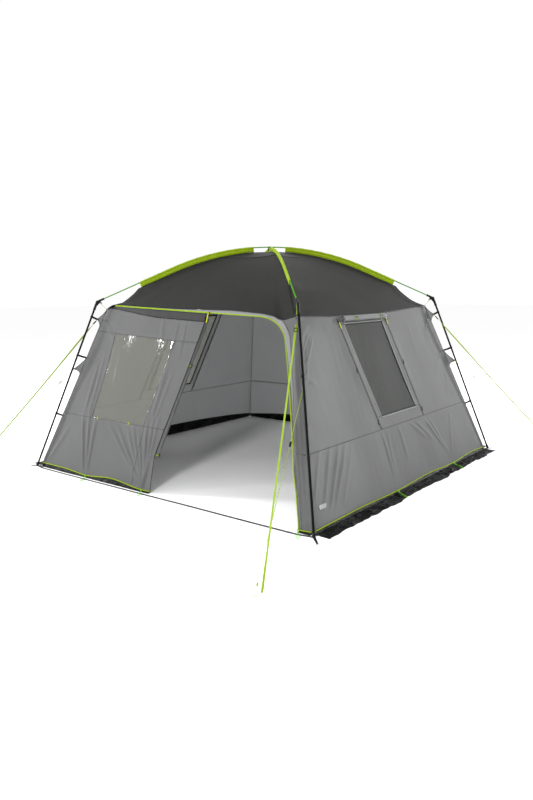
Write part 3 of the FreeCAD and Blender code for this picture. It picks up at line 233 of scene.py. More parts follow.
# Folds in each wall: start, end, width, depth.
FOLDS = {
    "window": [
        ((-1.25, 1.20), (-1.03, 1.43), 0.009, 0.0085), ((-1.23, 1.31), (-1.09, 1.45), 0.007, 0.0065),
        ((-1.20, 1.535), (-0.98, 1.552), 0.006, 0.0060), ((-1.21, 1.475), (-1.03, 1.515), 0.007, 0.0070),
        ((-1.16, 1.566), (-0.85, 1.560), 0.005, 0.0040), ((-1.26, 1.40), (-1.13, 1.48), 0.007, 0.0060),
        ((-1.29, 1.08), (-1.16, 1.36), 0.012, 0.0060),
        ((-1.60, 0.21), (-1.34, 0.60), 0.013, 0.0080), ((-1.52, 0.12), (-1.19, 0.60), 0.014, 0.0130),
        ((-1.44, 0.10), (-1.06, 0.59), 0.013, 0.0135), ((-1.36, 0.10), (-0.96, 0.58), 0.013, 0.0110),
        ((-1.25, 0.10), (-0.86, 0.56), 0.014, 0.0060),
        ((-0.37, 0.60), (-0.35, 0.10), 0.012, 0.0085), ((-0.26, 0.56), (-0.33, 0.06), 0.016, 0.0045),
        ((0.48, 0.53), (0.83, 0.12), 0.012, 0.0080), ((0.18, 0.53), (0.46, 0.34), 0.012, 0.0060),
        ((0.58, 0.53), (0.86, 0.10), 0.010, 0.0070), ((0.30, 0.53), (0.60, 0.28), 0.013, 0.0050),
        ((1.10, 0.52), (0.88, 0.05), 0.018, 0.0050), ((-0.05, 0.54), (-0.02, 0.20), 0.020, 0.006),
        ((1.21, 1.56), (1.00, 1.20), 0.016, 0.0050), ((1.23, 1.47), (0.94, 1.28), 0.014, 0.0040),
        ((1.33, 1.14), (1.02, 0.90), 0.016, 0.0050), ((1.36, 1.00), (1.12, 1.14), 0.014, 0.0040),
        ((-1.33, 1.14), (-1.12, 1.02), 0.014, 0.0050), ((-1.38, 0.98), (-1.18, 1.08), 0.012, 0.0045),
        ((-0.80, 1.55), (-0.74, 1.05), 0.030, 0.0015), ((0.66, 1.56), (0.84, 0.80), 0.040, 0.0020),
        ((-1.235, 1.255), (-1.06, 1.43), 0.006, 0.0065), ((-1.27, 1.12), (-1.12, 1.34), 0.008, 0.0060),
        ((-1.215, 1.42), (-1.08, 1.49), 0.005, 0.0060), ((-1.19, 1.50), (-0.94, 1.535), 0.005, 0.0055),
    ],
    "door": [
        ((-0.165, 0.02), (-0.86, 0.56), 0.014, 0.012), ((-0.165, 0.02), (-0.72, 0.56), 0.013, 0.012),
        ((-0.165, 0.02), (-0.58, 0.58), 0.012, 0.009), ((-0.165, 0.02), (-0.48, 0.58), 0.010, 0.010),
        ((-0.165, 0.02), (-0.39, 0.58), 0.009, 0.009), ((-0.165, 0.02), (-0.29, 0.66), 0.009, 0.012),
        ((-0.165, 0.02), (-0.21, 0.72), 0.010, 0.010), ((-0.165, 0.02), (-0.13, 0.80), 0.010, 0.007),
        ((-1.03, 0.03), (-1.24, 0.64), 0.013, 0.012), ((-0.985, 0.03), (-1.15, 0.72), 0.012, 0.010),
        ((-0.975, 0.03), (-1.01, 0.62), 0.014, 0.009), ((-1.20, 0.60), (-1.17, 1.10), 0.018, 0.009),
        ((-1.12, 0.56), (-1.10, 1.22), 0.014, 0.006), ((-1.21, 1.55), (-0.96, 1.30), 0.016, 0.004),
        ((-0.24, 0.60), (-0.16, 1.20), 0.016, 0.007), ((-0.18, 0.62), (-0.08, 1.10), 0.012, 0.006),
        ((-0.33, 1.54), (-0.28, 1.22), 0.018, 0.004), ((-0.12, 1.52), (-0.15, 1.18), 0.014, 0.005),
        ((-0.02, 1.53), (-0.03, 1.20), 0.012, 0.005), ((-1.64, 0.05), (-1.36, 0.50), 0.020, 0.006),
        ((1.26, 1.30), (1.50, 0.35), 0.012, 0.017), ((1.22, 1.45), (1.62, 0.10), 0.009, 0.014),
        ((1.38, 0.80), (1.60, 0.06), 0.010, 0.015), ((1.20, 1.52), (1.34, 0.90), 0.011, 0.008),
        ((1.33, 0.95), (1.54, 0.05), 0.008, 0.012), ((1.28, 1.50), (1.20, 1.30), 0.010, 0.006),
    ],
    "left": [
        ((-1.20, 1.52), (-0.92, 1.30), 0.018, 0.006), ((1.20, 1.52), (0.94, 1.25), 0.018, 0.007),
        ((-0.40, 0.52), (-0.60, 0.14), 0.018, 0.006), ((0.36, 0.52), (0.60, 0.12), 0.018, 0.006),
        ((1.52, 0.12), (1.20, 0.52), 0.020, 0.006), ((-1.52, 0.12), (-1.20, 0.52), 0.020, 0.006),
    ],
    "back": [
        ((-1.20, 1.52), (-0.80, 1.20), 0.024, 0.007), ((1.20, 1.52), (0.80, 1.20), 0.024, 0.007),
        ((-0.60, 0.10), (-0.85, 0.54), 0.020, 0.007), ((-0.60, 0.10), (-0.35, 0.54), 0.020, 0.006),
        ((0.60, 0.10), (0.85, 0.54), 0.020, 0.006), ((0.60, 0.10), (0.38, 0.54), 0.020, 0.007),
        ((1.54, 0.12), (1.24, 0.52), 0.022, 0.006), ((-1.54, 0.12), (-1.24, 0.52), 0.022, 0.006),
    ],
}
WALL_SEED = {"window": 11, "door": 23, "left": 37, "back": 51}


def wall_half(z):
    return WALL_FOOT_HALF - WALL_SLOPE * z


def beside_window_zips(side, s, z):
    """Share of the drape left near a window's zips, which run straight."""
    if side not in ("window", "left"):
        return 1.0
    share = 1.0
    for offset in (-MESH_BORDER, MESH_WIDTH + MESH_BORDER):
        zip_s = MESH_LEFT_AT_TOP + offset + MESH_LEAN * (MESH_TOP - z)
        share = share * ease(np.abs(s - zip_s), 0.02, 0.13)
    return 1 - ease(z, 0.45, 0.545) * (1 - share)


def drape(side, s, z):
    """How far the cloth stands out from the wall's flat plane."""
    seed = WALL_SEED[side]
    inside = ease(wall_half(z) - np.abs(s), 0.0, 0.12)
    held = ease(EAVE_AT[side](s) - z, 0.0, 0.10) * ease(z - HEM_AT[side](s), -0.02, 0.05)
    seam = 0.35 + 0.65 * ease(np.abs(z - SEAM_Z), 0.0, 0.10)
    # long soft waves, then narrow ones that run down the cloth
    free = 0.0060 * ripples(s, z * 0.6, seed, 0.75) + 0.0007 * ripples(s, z * 0.22, seed + 1, 0.115)
    sag = -0.010 * np.sin(np.pi * np.clip((z - SEAM_Z) / (1.6 - SEAM_Z), 0, 1))
    total = inside * (sag + free * seam) * held
    for start, end, width, depth in FOLDS[side]:
        total = total + held * fold(s, z, start, end, width, depth, 0.8)
    return total * beside_window_zips(side, s, z)


def on_wall(side, s, z, lift=0.0):
    """World points on a wall's cloth, lifted outward along the wall's normal."""
    s, z = np.broadcast_arrays(np.asarray(s, float), np.asarray(z, float))
    out = drape(side, s, z) + lift
    flat = np.stack([wall_half(z), s, z], -1) + out[..., None] * WALL_NORMAL
    return spin(flat, SIDE_ANGLE[side])


def side_normal(side):
    return spin(WALL_NORMAL, SIDE_ANGLE[side])


# ---- mesh helpers ------------------------------------------------------------------------
def mesh_object(name, points, faces, material, uv=None):
    mesh = bpy.data.meshes.new(name)
    mesh.from_pydata(np.asarray(points, float).tolist(), [], faces)
    mesh.polygons.foreach_set("use_smooth", [True] * len(mesh.polygons))
    if uv is not None:
        corner = np.zeros(len(mesh.loops), np.int32)
        mesh.loops.foreach_get("vertex_index", corner)
        layer = mesh.uv_layers.new(name="cloth")
        layer.data.foreach_set("uv", np.asarray(uv, np.float32)[corner].ravel())
    mesh.materials.append(material)
    mesh.update()
    piece = bpy.data.objects.new(name, mesh)
    bpy.context.scene.collection.objects.link(piece)
    return piece


def joined(name, parts, material):
    """One object from several (points, faces, uv) parts."""
    points, faces, uv = [], [], []
    for part_points, part_faces, part_uv in parts:
        shift = sum(len(p) for p in points)
        points.append(np.asarray(part_points, float))
        faces += [tuple(i + shift for i in face) for face in part_faces]
        uv.append(np.asarray(part_uv, float))
    return mesh_object(name, np.concatenate(points), faces, material, np.concatenate(uv))


def turned_parts(parts, degrees):
    """The same (points, faces, uv) parts, turned about the vertical axis."""
    return [(spin(points, degrees), faces, uv) for points, faces, uv in parts]


def keep(piece, slot, *nodes, body=ROOT):
    """The piece rides on a body and stands for CAD nodes, which it hides; its slot argument is not used."""
    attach(piece, body)
    if nodes:
        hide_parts(*nodes)
    return piece


def corner_piece(name, corner, parts, material, slot, *nodes):
    """Parts shaped on the +X side, turned to their corner and kept as one piece."""
    turned = turned_parts(parts, CORNER_ANGLE[corner])
    return keep(joined("%s_%s" % (name, corner), turned, material), slot, *nodes)


def sheet_part(grid, uv, thickness=CLOTH, wrap=False):
    """Closed thin sheet over a grid of points. With wrap, its columns close into a ring."""
    rows, columns = grid.shape[:2]
    if wrap:
        padded = np.concatenate([grid[:, -1:], grid, grid[:, :1]], 1)
        across = np.gradient(padded, axis=1)[:, 1:-1]
    else:
        across = np.gradient(grid, axis=1)
    normal = unit(np.cross(np.gradient(grid, axis=0), across))
    front = (grid + normal * thickness / 2).reshape(-1, 3)
    back = (grid - normal * thickness / 2).reshape(-1, 3)
    count = rows * columns
    last = columns if wrap else columns - 1
    faces = []
    for i in range(rows - 1):
        for j in range(last):
            k = (j + 1) % columns
            a, b = i * columns + j, (i + 1) * columns + j
            c, d = (i + 1) * columns + k, i * columns + k
            faces.append((a, b, c, d))
            faces.append((a + count, d + count, c + count, b + count))
    for i, flip in ((0, False), (rows - 1, True)):
        for j in range(last):
            a, b = i * columns + j, i * columns + (j + 1) % columns
            rim = (a, b, b + count, a + count)
            faces.append(rim[::-1] if flip else rim)
    if not wrap:
        for j, flip in ((0, True), (columns - 1, False)):
            for i in range(rows - 1):
                a, b = i * columns + j, (i + 1) * columns + j
                rim = (a, b, b + count, a + count)
                faces.append(rim[::-1] if flip else rim)
    flat_uv = np.asarray(uv, float).reshape(-1, 2)
    return np.concatenate([front, back]), faces, np.concatenate([flat_uv, flat_uv])


def rounded(path, rounds):
    """The path with its corners smoothed. Its two ends stay."""
    for _ in range(rounds):
        path[1:-1] = (path[:-2] + path[1:-1] * 2 + path[2:]) / 4
    return path


def ring_path(centre, radius, first, second, steps=49):
    """Closed circle in the plane of two unit vectors, and its angle at each point."""
    turn = np.linspace(0, math.tau, steps)
    return centre + radius * (np.cos(turn)[:, None] * first + np.sin(turn)[:, None] * second), turn


def frames_along(path, hint):
    """Normal and side vectors along a path. The normal stays near the hint."""
    tangent = unit(np.gradient(path, axis=0))
    hint = np.broadcast_to(np.asarray(hint, float), path.shape)
    side = unit(np.cross(tangent, hint))
    return np.cross(side, tangent), side


def swept_part(path, section, hint, scale=None, uv_across=None):
    """A closed section, (side, normal) offsets, carried along a path and closed at its ends."""
    normal, side = frames_along(path, hint)
    section = np.asarray(section, float)
    n, m = len(path), section.shape[-2]
    shape = np.broadcast_to(section, (n, m, 2))
    if scale is not None:
        shape = shape * np.asarray(scale, float)[:, None, None]
    points = path[:, None] + shape[..., :1] * side[:, None] + shape[..., 1:] * normal[:, None]
    faces = []
    for i in range(n - 1):
        for j in range(m):
            k = (j + 1) % m
            faces.append((i * m + j, i * m + k, (i + 1) * m + k, (i + 1) * m + j))
    faces.append(tuple(range(m - 1, -1, -1)))
    faces.append(tuple((n - 1) * m + j for j in range(m)))
    reach = np.concatenate([[0], np.cumsum(np.linalg.norm(np.diff(path, axis=0), axis=1))])
    across = shape[..., 0] if uv_across is None else np.broadcast_to(uv_across, (n, m))
    uv = np.stack([np.broadcast_to(reach[:, None], (n, m)), across], -1)
    return points.reshape(-1, 3), faces, uv.reshape(-1, 2)


def flat_section(width, thickness):
    """Flat section with rounded edges, for webbing, tape and binding."""
    w, t = width / 2, thickness / 2
    half = [(-w, 0), (-w * 0.97, -t * 0.8), (-w * 0.88, -t), (0, -t), (w * 0.88, -t), (w * 0.97, -t * 0.8)]
    return half + [(-x, -y) for x, y in half]


def round_section(radius, sides=12):
    turn = np.linspace(0, math.tau, sides, endpoint=False)
    return np.stack([np.cos(turn), np.sin(turn)], 1) * radius


def wall_path(side, line, lift, step=0.014):
    line = along_line(line, step)
    return on_wall(side, line[:, 0], line[:, 1], lift)


def tape_part(side, line, width, thickness, lift, step=0.014):
    """Flat tape that follows the cloth of a wall."""
    path = wall_path(side, line, lift, step)
    return swept_part(path, flat_section(width, thickness), side_normal(side))


def leaning_panel(left, right, low, high, size):
    """(along, height) grid between two leaning edges and two curved ones."""
    wide = max(abs(right(0.8) - left(0.8)), 0.02)
    tall = max(abs(float(high(0.0)) - float(low(0.0))), 0.02)
    u = np.linspace(0, 1, max(3, int(wide / size) + 1))[None, :]
    v = np.linspace(0, 1, max(3, int(tall / size) + 1))[:, None]
    z = 0.8 + 0 * u * v
    for _ in range(12):
        s = left(z) * (1 - u) + right(z) * u
        z = low(s) * (1 - v) + high(s) * v
    return s, z


def panel_part(side, left, right, low, high, size=0.014, lift=0.0, thickness=CLOTH):
    s, z = leaning_panel(left, right, low, high, size)
    grid = on_wall(side, s, z, lift)
    # rows go up and columns go along, so the front is turned outward
    return sheet_part(grid.transpose(1, 0, 2), np.stack([s, z], -1).transpose(1, 0, 2), thickness)


def level(height):
    """Edge that keeps one height, or as a side edge one place along the wall."""
    return lambda s: height + 0 * np.asarray(s, float)


def line_edge(p, q):
    """Edge through two (along, height) points, as a place along the wall for a height."""
    return lambda z: p[0] + (np.asarray(z, float) - p[1]) * (q[0] - p[0]) / (q[1] - p[1])


def line_top(p, q):
    """Edge through two (along, height) points, as a height for a place along the wall."""
    return lambda s: p[1] + (np.asarray(s, float) - p[0]) * (q[1] - p[1]) / (q[0] - p[0])


# ---- materials ---------------------------------------------------------------------------
def base_material(name, color, roughness, metallic=0.0, sheen=0.0, coat=0.0, specular=0.5):
    made = bpy.data.materials.new(name)
    made.use_nodes = True
    shader = made.node_tree.nodes["Principled BSDF"]
    shader.inputs["Base Color"].default_value = (*color, 1.0)
    shader.inputs["Roughness"].default_value = roughness
    shader.inputs["Metallic"].default_value = metallic
    shader.inputs["Specular IOR Level"].default_value = specular
    shader.inputs["Coat Weight"].default_value = coat
    if sheen:
        shader.inputs["Sheen Weight"].default_value = sheen
        shader.inputs["Sheen Roughness"].default_value = 0.5
    return made, made.node_tree, shader


def coordinates(tree, kind):
    return tree.nodes.new("ShaderNodeTexCoord").outputs[kind]


def noise(tree, source, scale, detail=3.0, rough=0.5):
    node = tree.nodes.new("ShaderNodeTexNoise")
    node.inputs["Scale"].default_value = scale
    node.inputs["Detail"].default_value = detail
    node.inputs["Roughness"].default_value = rough
    tree.links.new(source, node.inputs["Vector"])
    return node.outputs["Fac"]


def maths(tree, operation, a, b=None):
    node = tree.nodes.new("ShaderNodeMath")
    node.operation = operation
    for socket, value in zip(node.inputs, (a, b)):
        if value is None:
            continue
        if isinstance(value, (int, float)):
            socket.default_value = value
        else:
            tree.links.new(value, socket)
    return node.outputs[0]


def spread_between(tree, value, low=0.0, high=1.0, start=0.0, end=1.0):
    """A value from start to end, carried over to low and high and held there."""
    node = tree.nodes.new("ShaderNodeMapRange")
    node.inputs["From Min"].default_value = start
    node.inputs["From Max"].default_value = end
    node.inputs["To Min"].default_value = low
    node.inputs["To Max"].default_value = high
    tree.links.new(value, node.inputs["Value"])
    return node.outputs["Result"]


def mixed_color(tree, share, first, second):
    node = tree.nodes.new("ShaderNodeMix")
    node.data_type = "RGBA"
    tree.links.new(share, node.inputs["Factor"])
    for socket, value in (("A", first), ("B", second)):
        target = [i for i in node.inputs if i.name == socket and i.type == "RGBA"][0]
        if isinstance(value, (tuple, list)):
            target.default_value = (*value, 1.0)
        else:
            tree.links.new(value, target)
    return [o for o in node.outputs if o.type == "RGBA"][0]


def scaled(color, factor):
    return tuple(min(1.0, c * factor) for c in color)


def add_bump(tree, shader, height, distance, strength=1.0):
    """Adds a bump in front of whatever bump the shader already has."""
    node = tree.nodes.new("ShaderNodeBump")
    node.inputs["Distance"].default_value = distance
    node.inputs["Strength"].default_value = strength
    tree.links.new(height, node.inputs["Height"])
    socket = shader.inputs["Normal"]
    if socket.links:
        tree.links.new(socket.links[0].from_socket, node.inputs["Normal"])
    tree.links.new(node.outputs["Normal"], socket)


def waves(tree, source, direction, period):
    node = tree.nodes.new("ShaderNodeTexWave")
    node.wave_type = "BANDS"
    node.bands_direction = direction
    node.inputs["Scale"].default_value = math.tau / 20 / period
    tree.links.new(source, node.inputs["Vector"])
    return node.outputs["Fac"]


def vary(tree, shader, color, amount, scale, source=None):
    """Uneven tone over the surface, in broad patches and in fine grain."""
    source = source or coordinates(tree, "Object")
    broad = noise(tree, source, scale, 4.0, 0.6)
    grain = noise(tree, source, scale * 45, 2.0, 0.5)
    share = maths(tree, "ADD", maths(tree, "MULTIPLY", broad, 0.75), maths(tree, "MULTIPLY", grain, 0.25))
    share = spread_between(tree, share, start=0.3, end=0.7)
    mixed = mixed_color(tree, share, scaled(color, 1 - amount), scaled(color, 1 + amount))
    tree.links.new(mixed, shader.inputs["Base Color"])
    return mixed


def translucent(tree, color):
    node = tree.nodes.new("ShaderNodeBsdfTranslucent")
    node.inputs["Color"].default_value = (*color, 1.0)
    return node.outputs[0]


def mixed_shader(tree, share, first, second):
    """Mix of two shaders. The share of the second is a number or a socket."""
    node = tree.nodes.new("ShaderNodeMixShader")
    if isinstance(share, float):
        node.inputs["Fac"].default_value = share
    else:
        tree.links.new(share, node.inputs["Fac"])
    tree.links.new(first, node.inputs[1])
    tree.links.new(second, node.inputs[2])
    return node.outputs[0]


def set_surface(tree, socket):
    tree.links.new(socket, tree.nodes["Material Output"].inputs["Surface"])


def cloth_material(name, color, period=0.0011, crinkle=0.0012, through=0.0, amount=0.07, rough=0.72,
                   sheen=0.12, glow=1.6):
    """Plain weave cloth: tone, weave and small crinkles, with some light coming through."""
    made, tree, shader = base_material(name, color, rough, sheen=sheen, specular=0.25)
    vary(tree, shader, color, amount, 2.6)
    uv = coordinates(tree, "UV")
    over = maths(tree, "MULTIPLY", waves(tree, uv, "X", period), waves(tree, uv, "Y", period))
    add_bump(tree, shader, noise(tree, coordinates(tree, "Object"), 24.0, 4.0, 0.55), crinkle, 0.6)
    add_bump(tree, shader, over, 0.00012, 0.8)
    if through:
        lit = translucent(tree, scaled(color, glow))
        set_surface(tree, mixed_shader(tree, through, shader.outputs[0], lit))
    return made


STITCH = 0.0038             # length of a stitch and the gap after it


def webbing_material(name, color, width, rib=0.0016, stitched=True):
    """Ribbed webbing or seam tape, with a row of stitches near each edge."""
    made, tree, shader = base_material(name, color, 0.75, specular=0.12)
    tone = vary(tree, shader, color, 0.08, 9.0)
    uv = coordinates(tree, "UV")
    split = tree.nodes.new("ShaderNodeSeparateXYZ")
    tree.links.new(uv, split.inputs[0])
    ribs = waves(tree, uv, "X", rib)
    add_bump(tree, shader, ribs, 0.0002, 0.7)
    if stitched:
        from_middle = maths(tree, "ABSOLUTE", split.outputs[1])
        from_row = maths(tree, "ABSOLUTE", maths(tree, "SUBTRACT", from_middle, width * 0.34))
        near = maths(tree, "LESS_THAN", from_row, 0.0007)
        place = maths(tree, "FRACT", maths(tree, "DIVIDE", split.outputs[0], STITCH))
        stitch = maths(tree, "MULTIPLY", near, maths(tree, "LESS_THAN", place, 0.66))
        mixed = mixed_color(tree, stitch, tone, scaled(color, 1.7))
        tree.links.new(mixed, shader.inputs["Base Color"])
        add_bump(tree, shader, stitch, 0.0004, 0.8)
    return made


def plastic_material(name, color, rough=0.45, specular=0.12, grain=0.00015):
    made, tree, shader = base_material(name, color, rough, specular=specular)
    vary(tree, shader, color, 0.12, 14.0)
    source = coordinates(tree, "Object")
    add_bump(tree, shader, noise(tree, source, 900.0, 2.0), grain, 0.5)
    patches = noise(tree, source, 30.0, 3.0)
    tree.links.new(spread_between(tree, patches, rough - 0.08, rough + 0.1), shader.inputs["Roughness"])
    return made


def metal_material(name, color, rough=0.32, metallic=1.0):
    specular = 0.5 if metallic else 0.02
    made, tree, shader = base_material(name, color, rough, metallic=metallic, specular=specular)
    vary(tree, shader, color, 0.08, 20.0)
    source = coordinates(tree, "Object")
    patches = noise(tree, source, 60.0, 5.0, 0.65)
    tree.links.new(spread_between(tree, patches, rough - 0.1, rough + 0.16), shader.inputs["Roughness"])
    add_bump(tree, shader, noise(tree, source, 260.0, 3.0), 0.0001, 0.5)
    return made


def net_material(name, color):
    """Fine insect mesh: threads with gaps between them."""
    made, tree, shader = base_material(name, color, 0.7, specular=0.25)
    vary(tree, shader, color, 0.08, 3.0)
    uv = coordinates(tree, "UV")
    threads = maths(tree, "MAXIMUM", waves(tree, uv, "X", 0.0015), waves(tree, uv, "Y", 0.0015))
    thread = mixed_shader(tree, 0.45, shader.outputs[0], translucent(tree, (0.30, 0.31, 0.28)))
    gap = tree.nodes.new("ShaderNodeBsdfTransparent").outputs[0]
    set_surface(tree, mixed_shader(tree, spread_between(tree, threads, 0.60, 0.96), gap, thread))
    add_bump(tree, shader, threads, 0.0002, 0.5)
    return made


def pane_material(name):
    """Clear flexible sheet: mostly seen through, with painted white glints standing in for the lamps'
    reflections.
    """
    tint, painted_glint = (0.130, 0.132, 0.112), (0.95, 0.95, 0.95)
    tint_alpha, painted_glint_alpha = 0.42, 0.97
    made, tree, shader = base_material(name, tint, 0.05)
    source = coordinates(tree, "Object")
    place = tree.nodes.new("ShaderNodeSeparateXYZ")
    tree.links.new(source, place.inputs[0])
    stretch = tree.nodes.new("ShaderNodeMapping")
    stretch.inputs["Scale"].default_value = (190.0, 1.0, 26.0)
    tree.links.new(source, stretch.inputs["Vector"])
    streaks = noise(tree, stretch.outputs[0], 1.0, 2.5, 0.6)
    # painted highlight: in two patches under the upper edge the sheet is painted near white and nearly
    # opaque in short upright streaks, standing in for the lamps' glints where the sheet is puckered
    painted_glint_clusters = 0.0
    for centre, half in ((-0.74, 0.13), (-0.33, 0.15)):
        off = maths(tree, "ABSOLUTE", maths(tree, "SUBTRACT", place.outputs[0], centre))
        painted_glint_cluster = maths(tree, "SUBTRACT", 1.0, maths(tree, "DIVIDE", off, half))
        painted_glint_clusters = maths(tree, "MAXIMUM", painted_glint_clusters, painted_glint_cluster)
    high = spread_between(tree, place.outputs[2], start=1.12, end=1.40)
    share = maths(tree, "MULTIPLY", maths(tree, "MAXIMUM", painted_glint_clusters, 0.0), high)
    painted_glint_level = maths(tree, "ADD", streaks, maths(tree, "MULTIPLY", share, 0.27))
    painted_glint_mask = maths(tree, "GREATER_THAN", painted_glint_level, 0.765)
    # painted highlight: where the streaks pass the threshold the colour turns near white and the sheet
    # nearly opaque
    tree.links.new(mixed_color(tree, painted_glint_mask, tint, painted_glint), shader.inputs["Base Color"])
    tree.links.new(spread_between(tree, painted_glint_mask, tint_alpha, painted_glint_alpha), shader.inputs["Alpha"])
    add_bump(tree, shader, noise(tree, source, 7.0, 3.0), 0.0015, 0.4)
    return made


def crinkled_material(name, color):
    """Thin coated sheet that has been folded many times: dark, with paler lines along its creases in
    patches, a painted highlight for the light the crinkles catch.
    """
    made, tree, shader = base_material(name, color, 0.45, specular=0.07)
    source = coordinates(tree, "Object")
    bend = noise(tree, source, 9.0, 3.0)
    warped = tree.nodes.new("ShaderNodeVectorMath")
    warped.operation = "ADD"
    tree.links.new(source, warped.inputs[0])
    tree.links.new(maths(tree, "MULTIPLY", bend, 0.16), warped.inputs[1])
    cells = tree.nodes.new("ShaderNodeTexVoronoi")
    cells.feature = "DISTANCE_TO_EDGE"
    cells.inputs["Scale"].default_value = 34.0
    tree.links.new(warped.outputs[0], cells.inputs["Vector"])
    # painted highlight: thin lines along the crease cells, only in some patches, take a paler grey standing
    # in for the lamps catching the crinkles
    crease = maths(tree, "LESS_THAN", cells.outputs["Distance"], 0.055)
    painted_highlight_patches = maths(tree, "GREATER_THAN", noise(tree, source, 5.0, 3.0), 0.50)
    pale = maths(tree, "MULTIPLY", crease, painted_highlight_patches)
    tree.links.new(mixed_color(tree, pale, color, (0.040, 0.042, 0.044)), shader.inputs["Base Color"])
    add_bump(tree, shader, cells.outputs["Distance"], 0.012, 0.8)
    add_bump(tree, shader, noise(tree, source, 60.0, 5.0, 0.65), 0.006, 0.8)
    return made


GREY = (0.146, 0.147, 0.148)
LIME = (0.240, 0.350, 0.003)
WALL_CLOTH = cloth_material("wall_cloth", GREY, through=0.50, glow=3.1)
# painted shade: the rolled door and window flaps take the wall grey darkened to two thirds, for the shade
# in and round a roll
SHADED_ROLL_CLOTH = cloth_material("rolled_cloth", scaled(GREY, 0.66), crinkle=0.002)
PALE_TAPE = webbing_material("pale_tape", (0.160, 0.160, 0.164), 0.034, rib=0.0012)
BORDER_CLOTH = cloth_material("border_cloth", scaled(GREY, 1.10), crinkle=0.0016, through=0.50, glow=2.4)
SEAM_TAPE = webbing_material("seam_tape", scaled(GREY, 0.48), 0.007, rib=0.0010)
EDGE_TAPE = webbing_material("edge_tape", (0.010, 0.010, 0.010), 0.012)
ROOF_CLOTH = cloth_material("roof_cloth", (0.0125, 0.0125, 0.0118), through=0.03, amount=0.12, rough=0.9,
                            sheen=0.0)
ROOF_SEAM = webbing_material("roof_seam", (0.016, 0.016, 0.016), 0.010, rib=0.0010)
FLAP_CLOTH = cloth_material("flap_cloth", (0.014, 0.014, 0.014), crinkle=0.0018, sheen=0.0)
LIME_CLOTH = cloth_material("lime_cloth", LIME, crinkle=0.0015, through=0.15, sheen=0.0)
LIME_PIPING = webbing_material("lime_piping", LIME, 0.008, rib=0.0012, stitched=False)
LIME_WEBBING = webbing_material("lime_webbing", (0.190, 0.290, 0.016), 0.020)
LIME_CORD = webbing_material("lime_cord", (0.210, 0.330, 0.012), 0.004, rib=0.0030, stitched=False)
LOOP_CORD = webbing_material("loop_cord", (0.160, 0.520, 0.010), 0.008, rib=0.0020, stitched=False)
BLACK_WEBBING = webbing_material("black_webbing", (0.007, 0.007, 0.007), 0.022)
GREY_WEBBING = webbing_material("grey_webbing", (0.030, 0.031, 0.034), 0.025)
LABEL_CLOTH = webbing_material("label_cloth", (0.30, 0.30, 0.31), 0.034, rib=0.0010)
RIBBON = webbing_material("pull_ribbon", (0.420, 0.460, 0.006), 0.009, rib=0.0010, stitched=False)
NET = net_material("window_net", (0.030, 0.033, 0.031))
PANE_SHEET = pane_material("clear_pane")
GROUND_SHEET = crinkled_material("ground_sheet", (0.0022, 0.0024, 0.0024))
BLACK_PLASTIC = plastic_material("black_plastic", (0.006, 0.006, 0.006), 0.5)
ZIP_PLASTIC = plastic_material("lime_zip", (0.200, 0.300, 0.006), 0.35)
DARK_ZIP = plastic_material("dark_zip", (0.030, 0.030, 0.031), 0.35)
BLACK_STEEL = metal_material("black_steel", (0.005, 0.005, 0.005), 0.55, 0.0)
BARE_STEEL = metal_material("bare_steel", (0.52, 0.53, 0.54), 0.34)
SLIDER_METAL = metal_material("slider_metal", (0.040, 0.040, 0.042), 0.30, 0.6)
FIBREGLASS = plastic_material("green_fibreglass", (0.058, 0.215, 0.006), 0.5, specular=0.01)


# ---- floor -------------------------------------------------------------------------------
def make_floor():
    half, z = 60.0, -0.0005
    corners = [(-half, -half, z), (half, -half, z), (half, half, z), (-half, half, z)]
    made, tree, shader = base_material("pale_floor", (0.97, 0.97, 0.97), 0.9, specular=0.0)
    vary(tree, shader, (0.975, 0.975, 0.975), 0.005, 0.6)
    floor = mesh_object("floor", corners, [(0, 1, 2, 3)], made)


# ---- guys --------------------------------------------------------------------------------
# Triangular tabs on each corner seam: their top and bottom on it, then the tip's height and reach.
TABS = [(1.596, 1.440, 1.512, 1.780), (1.122, 0.957, 1.006, 2.040)]
TAB_TIP_SHIFT = 0.016
TAB_LEAN = {"left": -1, "front": -1, "right": -1, "back": 1}
# Ground point that both guys of a corner run to.
ANCHORS = {"left": (-2.400, -2.040), "front": (2.050, -2.750), "right": (2.430, 2.040),
           "back": (-2.400, 2.040)}
GUY_START = 0.003           # a guy starts this far past its tab's tip
GUY_SIDE_GAP = 0.042        # the thin guy meets the ground this far beside the band
GUY_DIGITS = 5              # guy points are rounded to 0.01 mm
# The thin guy's loop at the ground: (back from its end, sideways).
GUY_LOOP = [(0.082, 0.0), (0.055, 0.012), (0.005, 0.016), (0.005, -0.016), (0.055, -0.012),
            (0.080, -0.0055)]
RING_RADIUS, RING_WIRE = 0.014, 0.004
GUY_D = 0.004
BAND_WIDTH = 0.016
BAND_TWIST = {"left": 55.0, "front": 30.0, "right": 55.0, "back": 80.0}


def tab_tip(corner, tab):
    """Tip of a guy tab, on the +X side."""
    return np.array([tab[3], TAB_TIP_SHIFT * TAB_LEAN[corner], tab[2]])


def guy_ends(corner, tab, ground_z, side_shift=0.0):
    """A guy's tab tip and ground point, and the directions along and across it."""
    tip = spin(tab_tip(corner, tab), CORNER_ANGLE[corner])
    ground = np.array([*ANCHORS[corner], ground_z])
    ground = ground + unit(np.cross(ground - tip, UP)) * side_shift
    along = unit(ground - tip)
    return tip, ground, along, unit(np.cross(along, UP))


def band_ends(corner):
    tip, ground, along, _ = guy_ends(corner, TABS[0], RING_WIRE / 2 + 0.0005)
    ends = [tip + along * GUY_START, ground - along * (2 * RING_RADIUS + 0.003)]
    return np.round(ends, GUY_DIGITS)


def guy_route(corner):
    tip, ground, along, across = guy_ends(corner, TABS[1], GUY_D / 2 + 0.0006, GUY_SIDE_GAP)
    loop = [ground - along * back + across * side for back, side in GUY_LOOP]
    return np.round([tip + along * GUY_START] + loop, GUY_DIGITS)


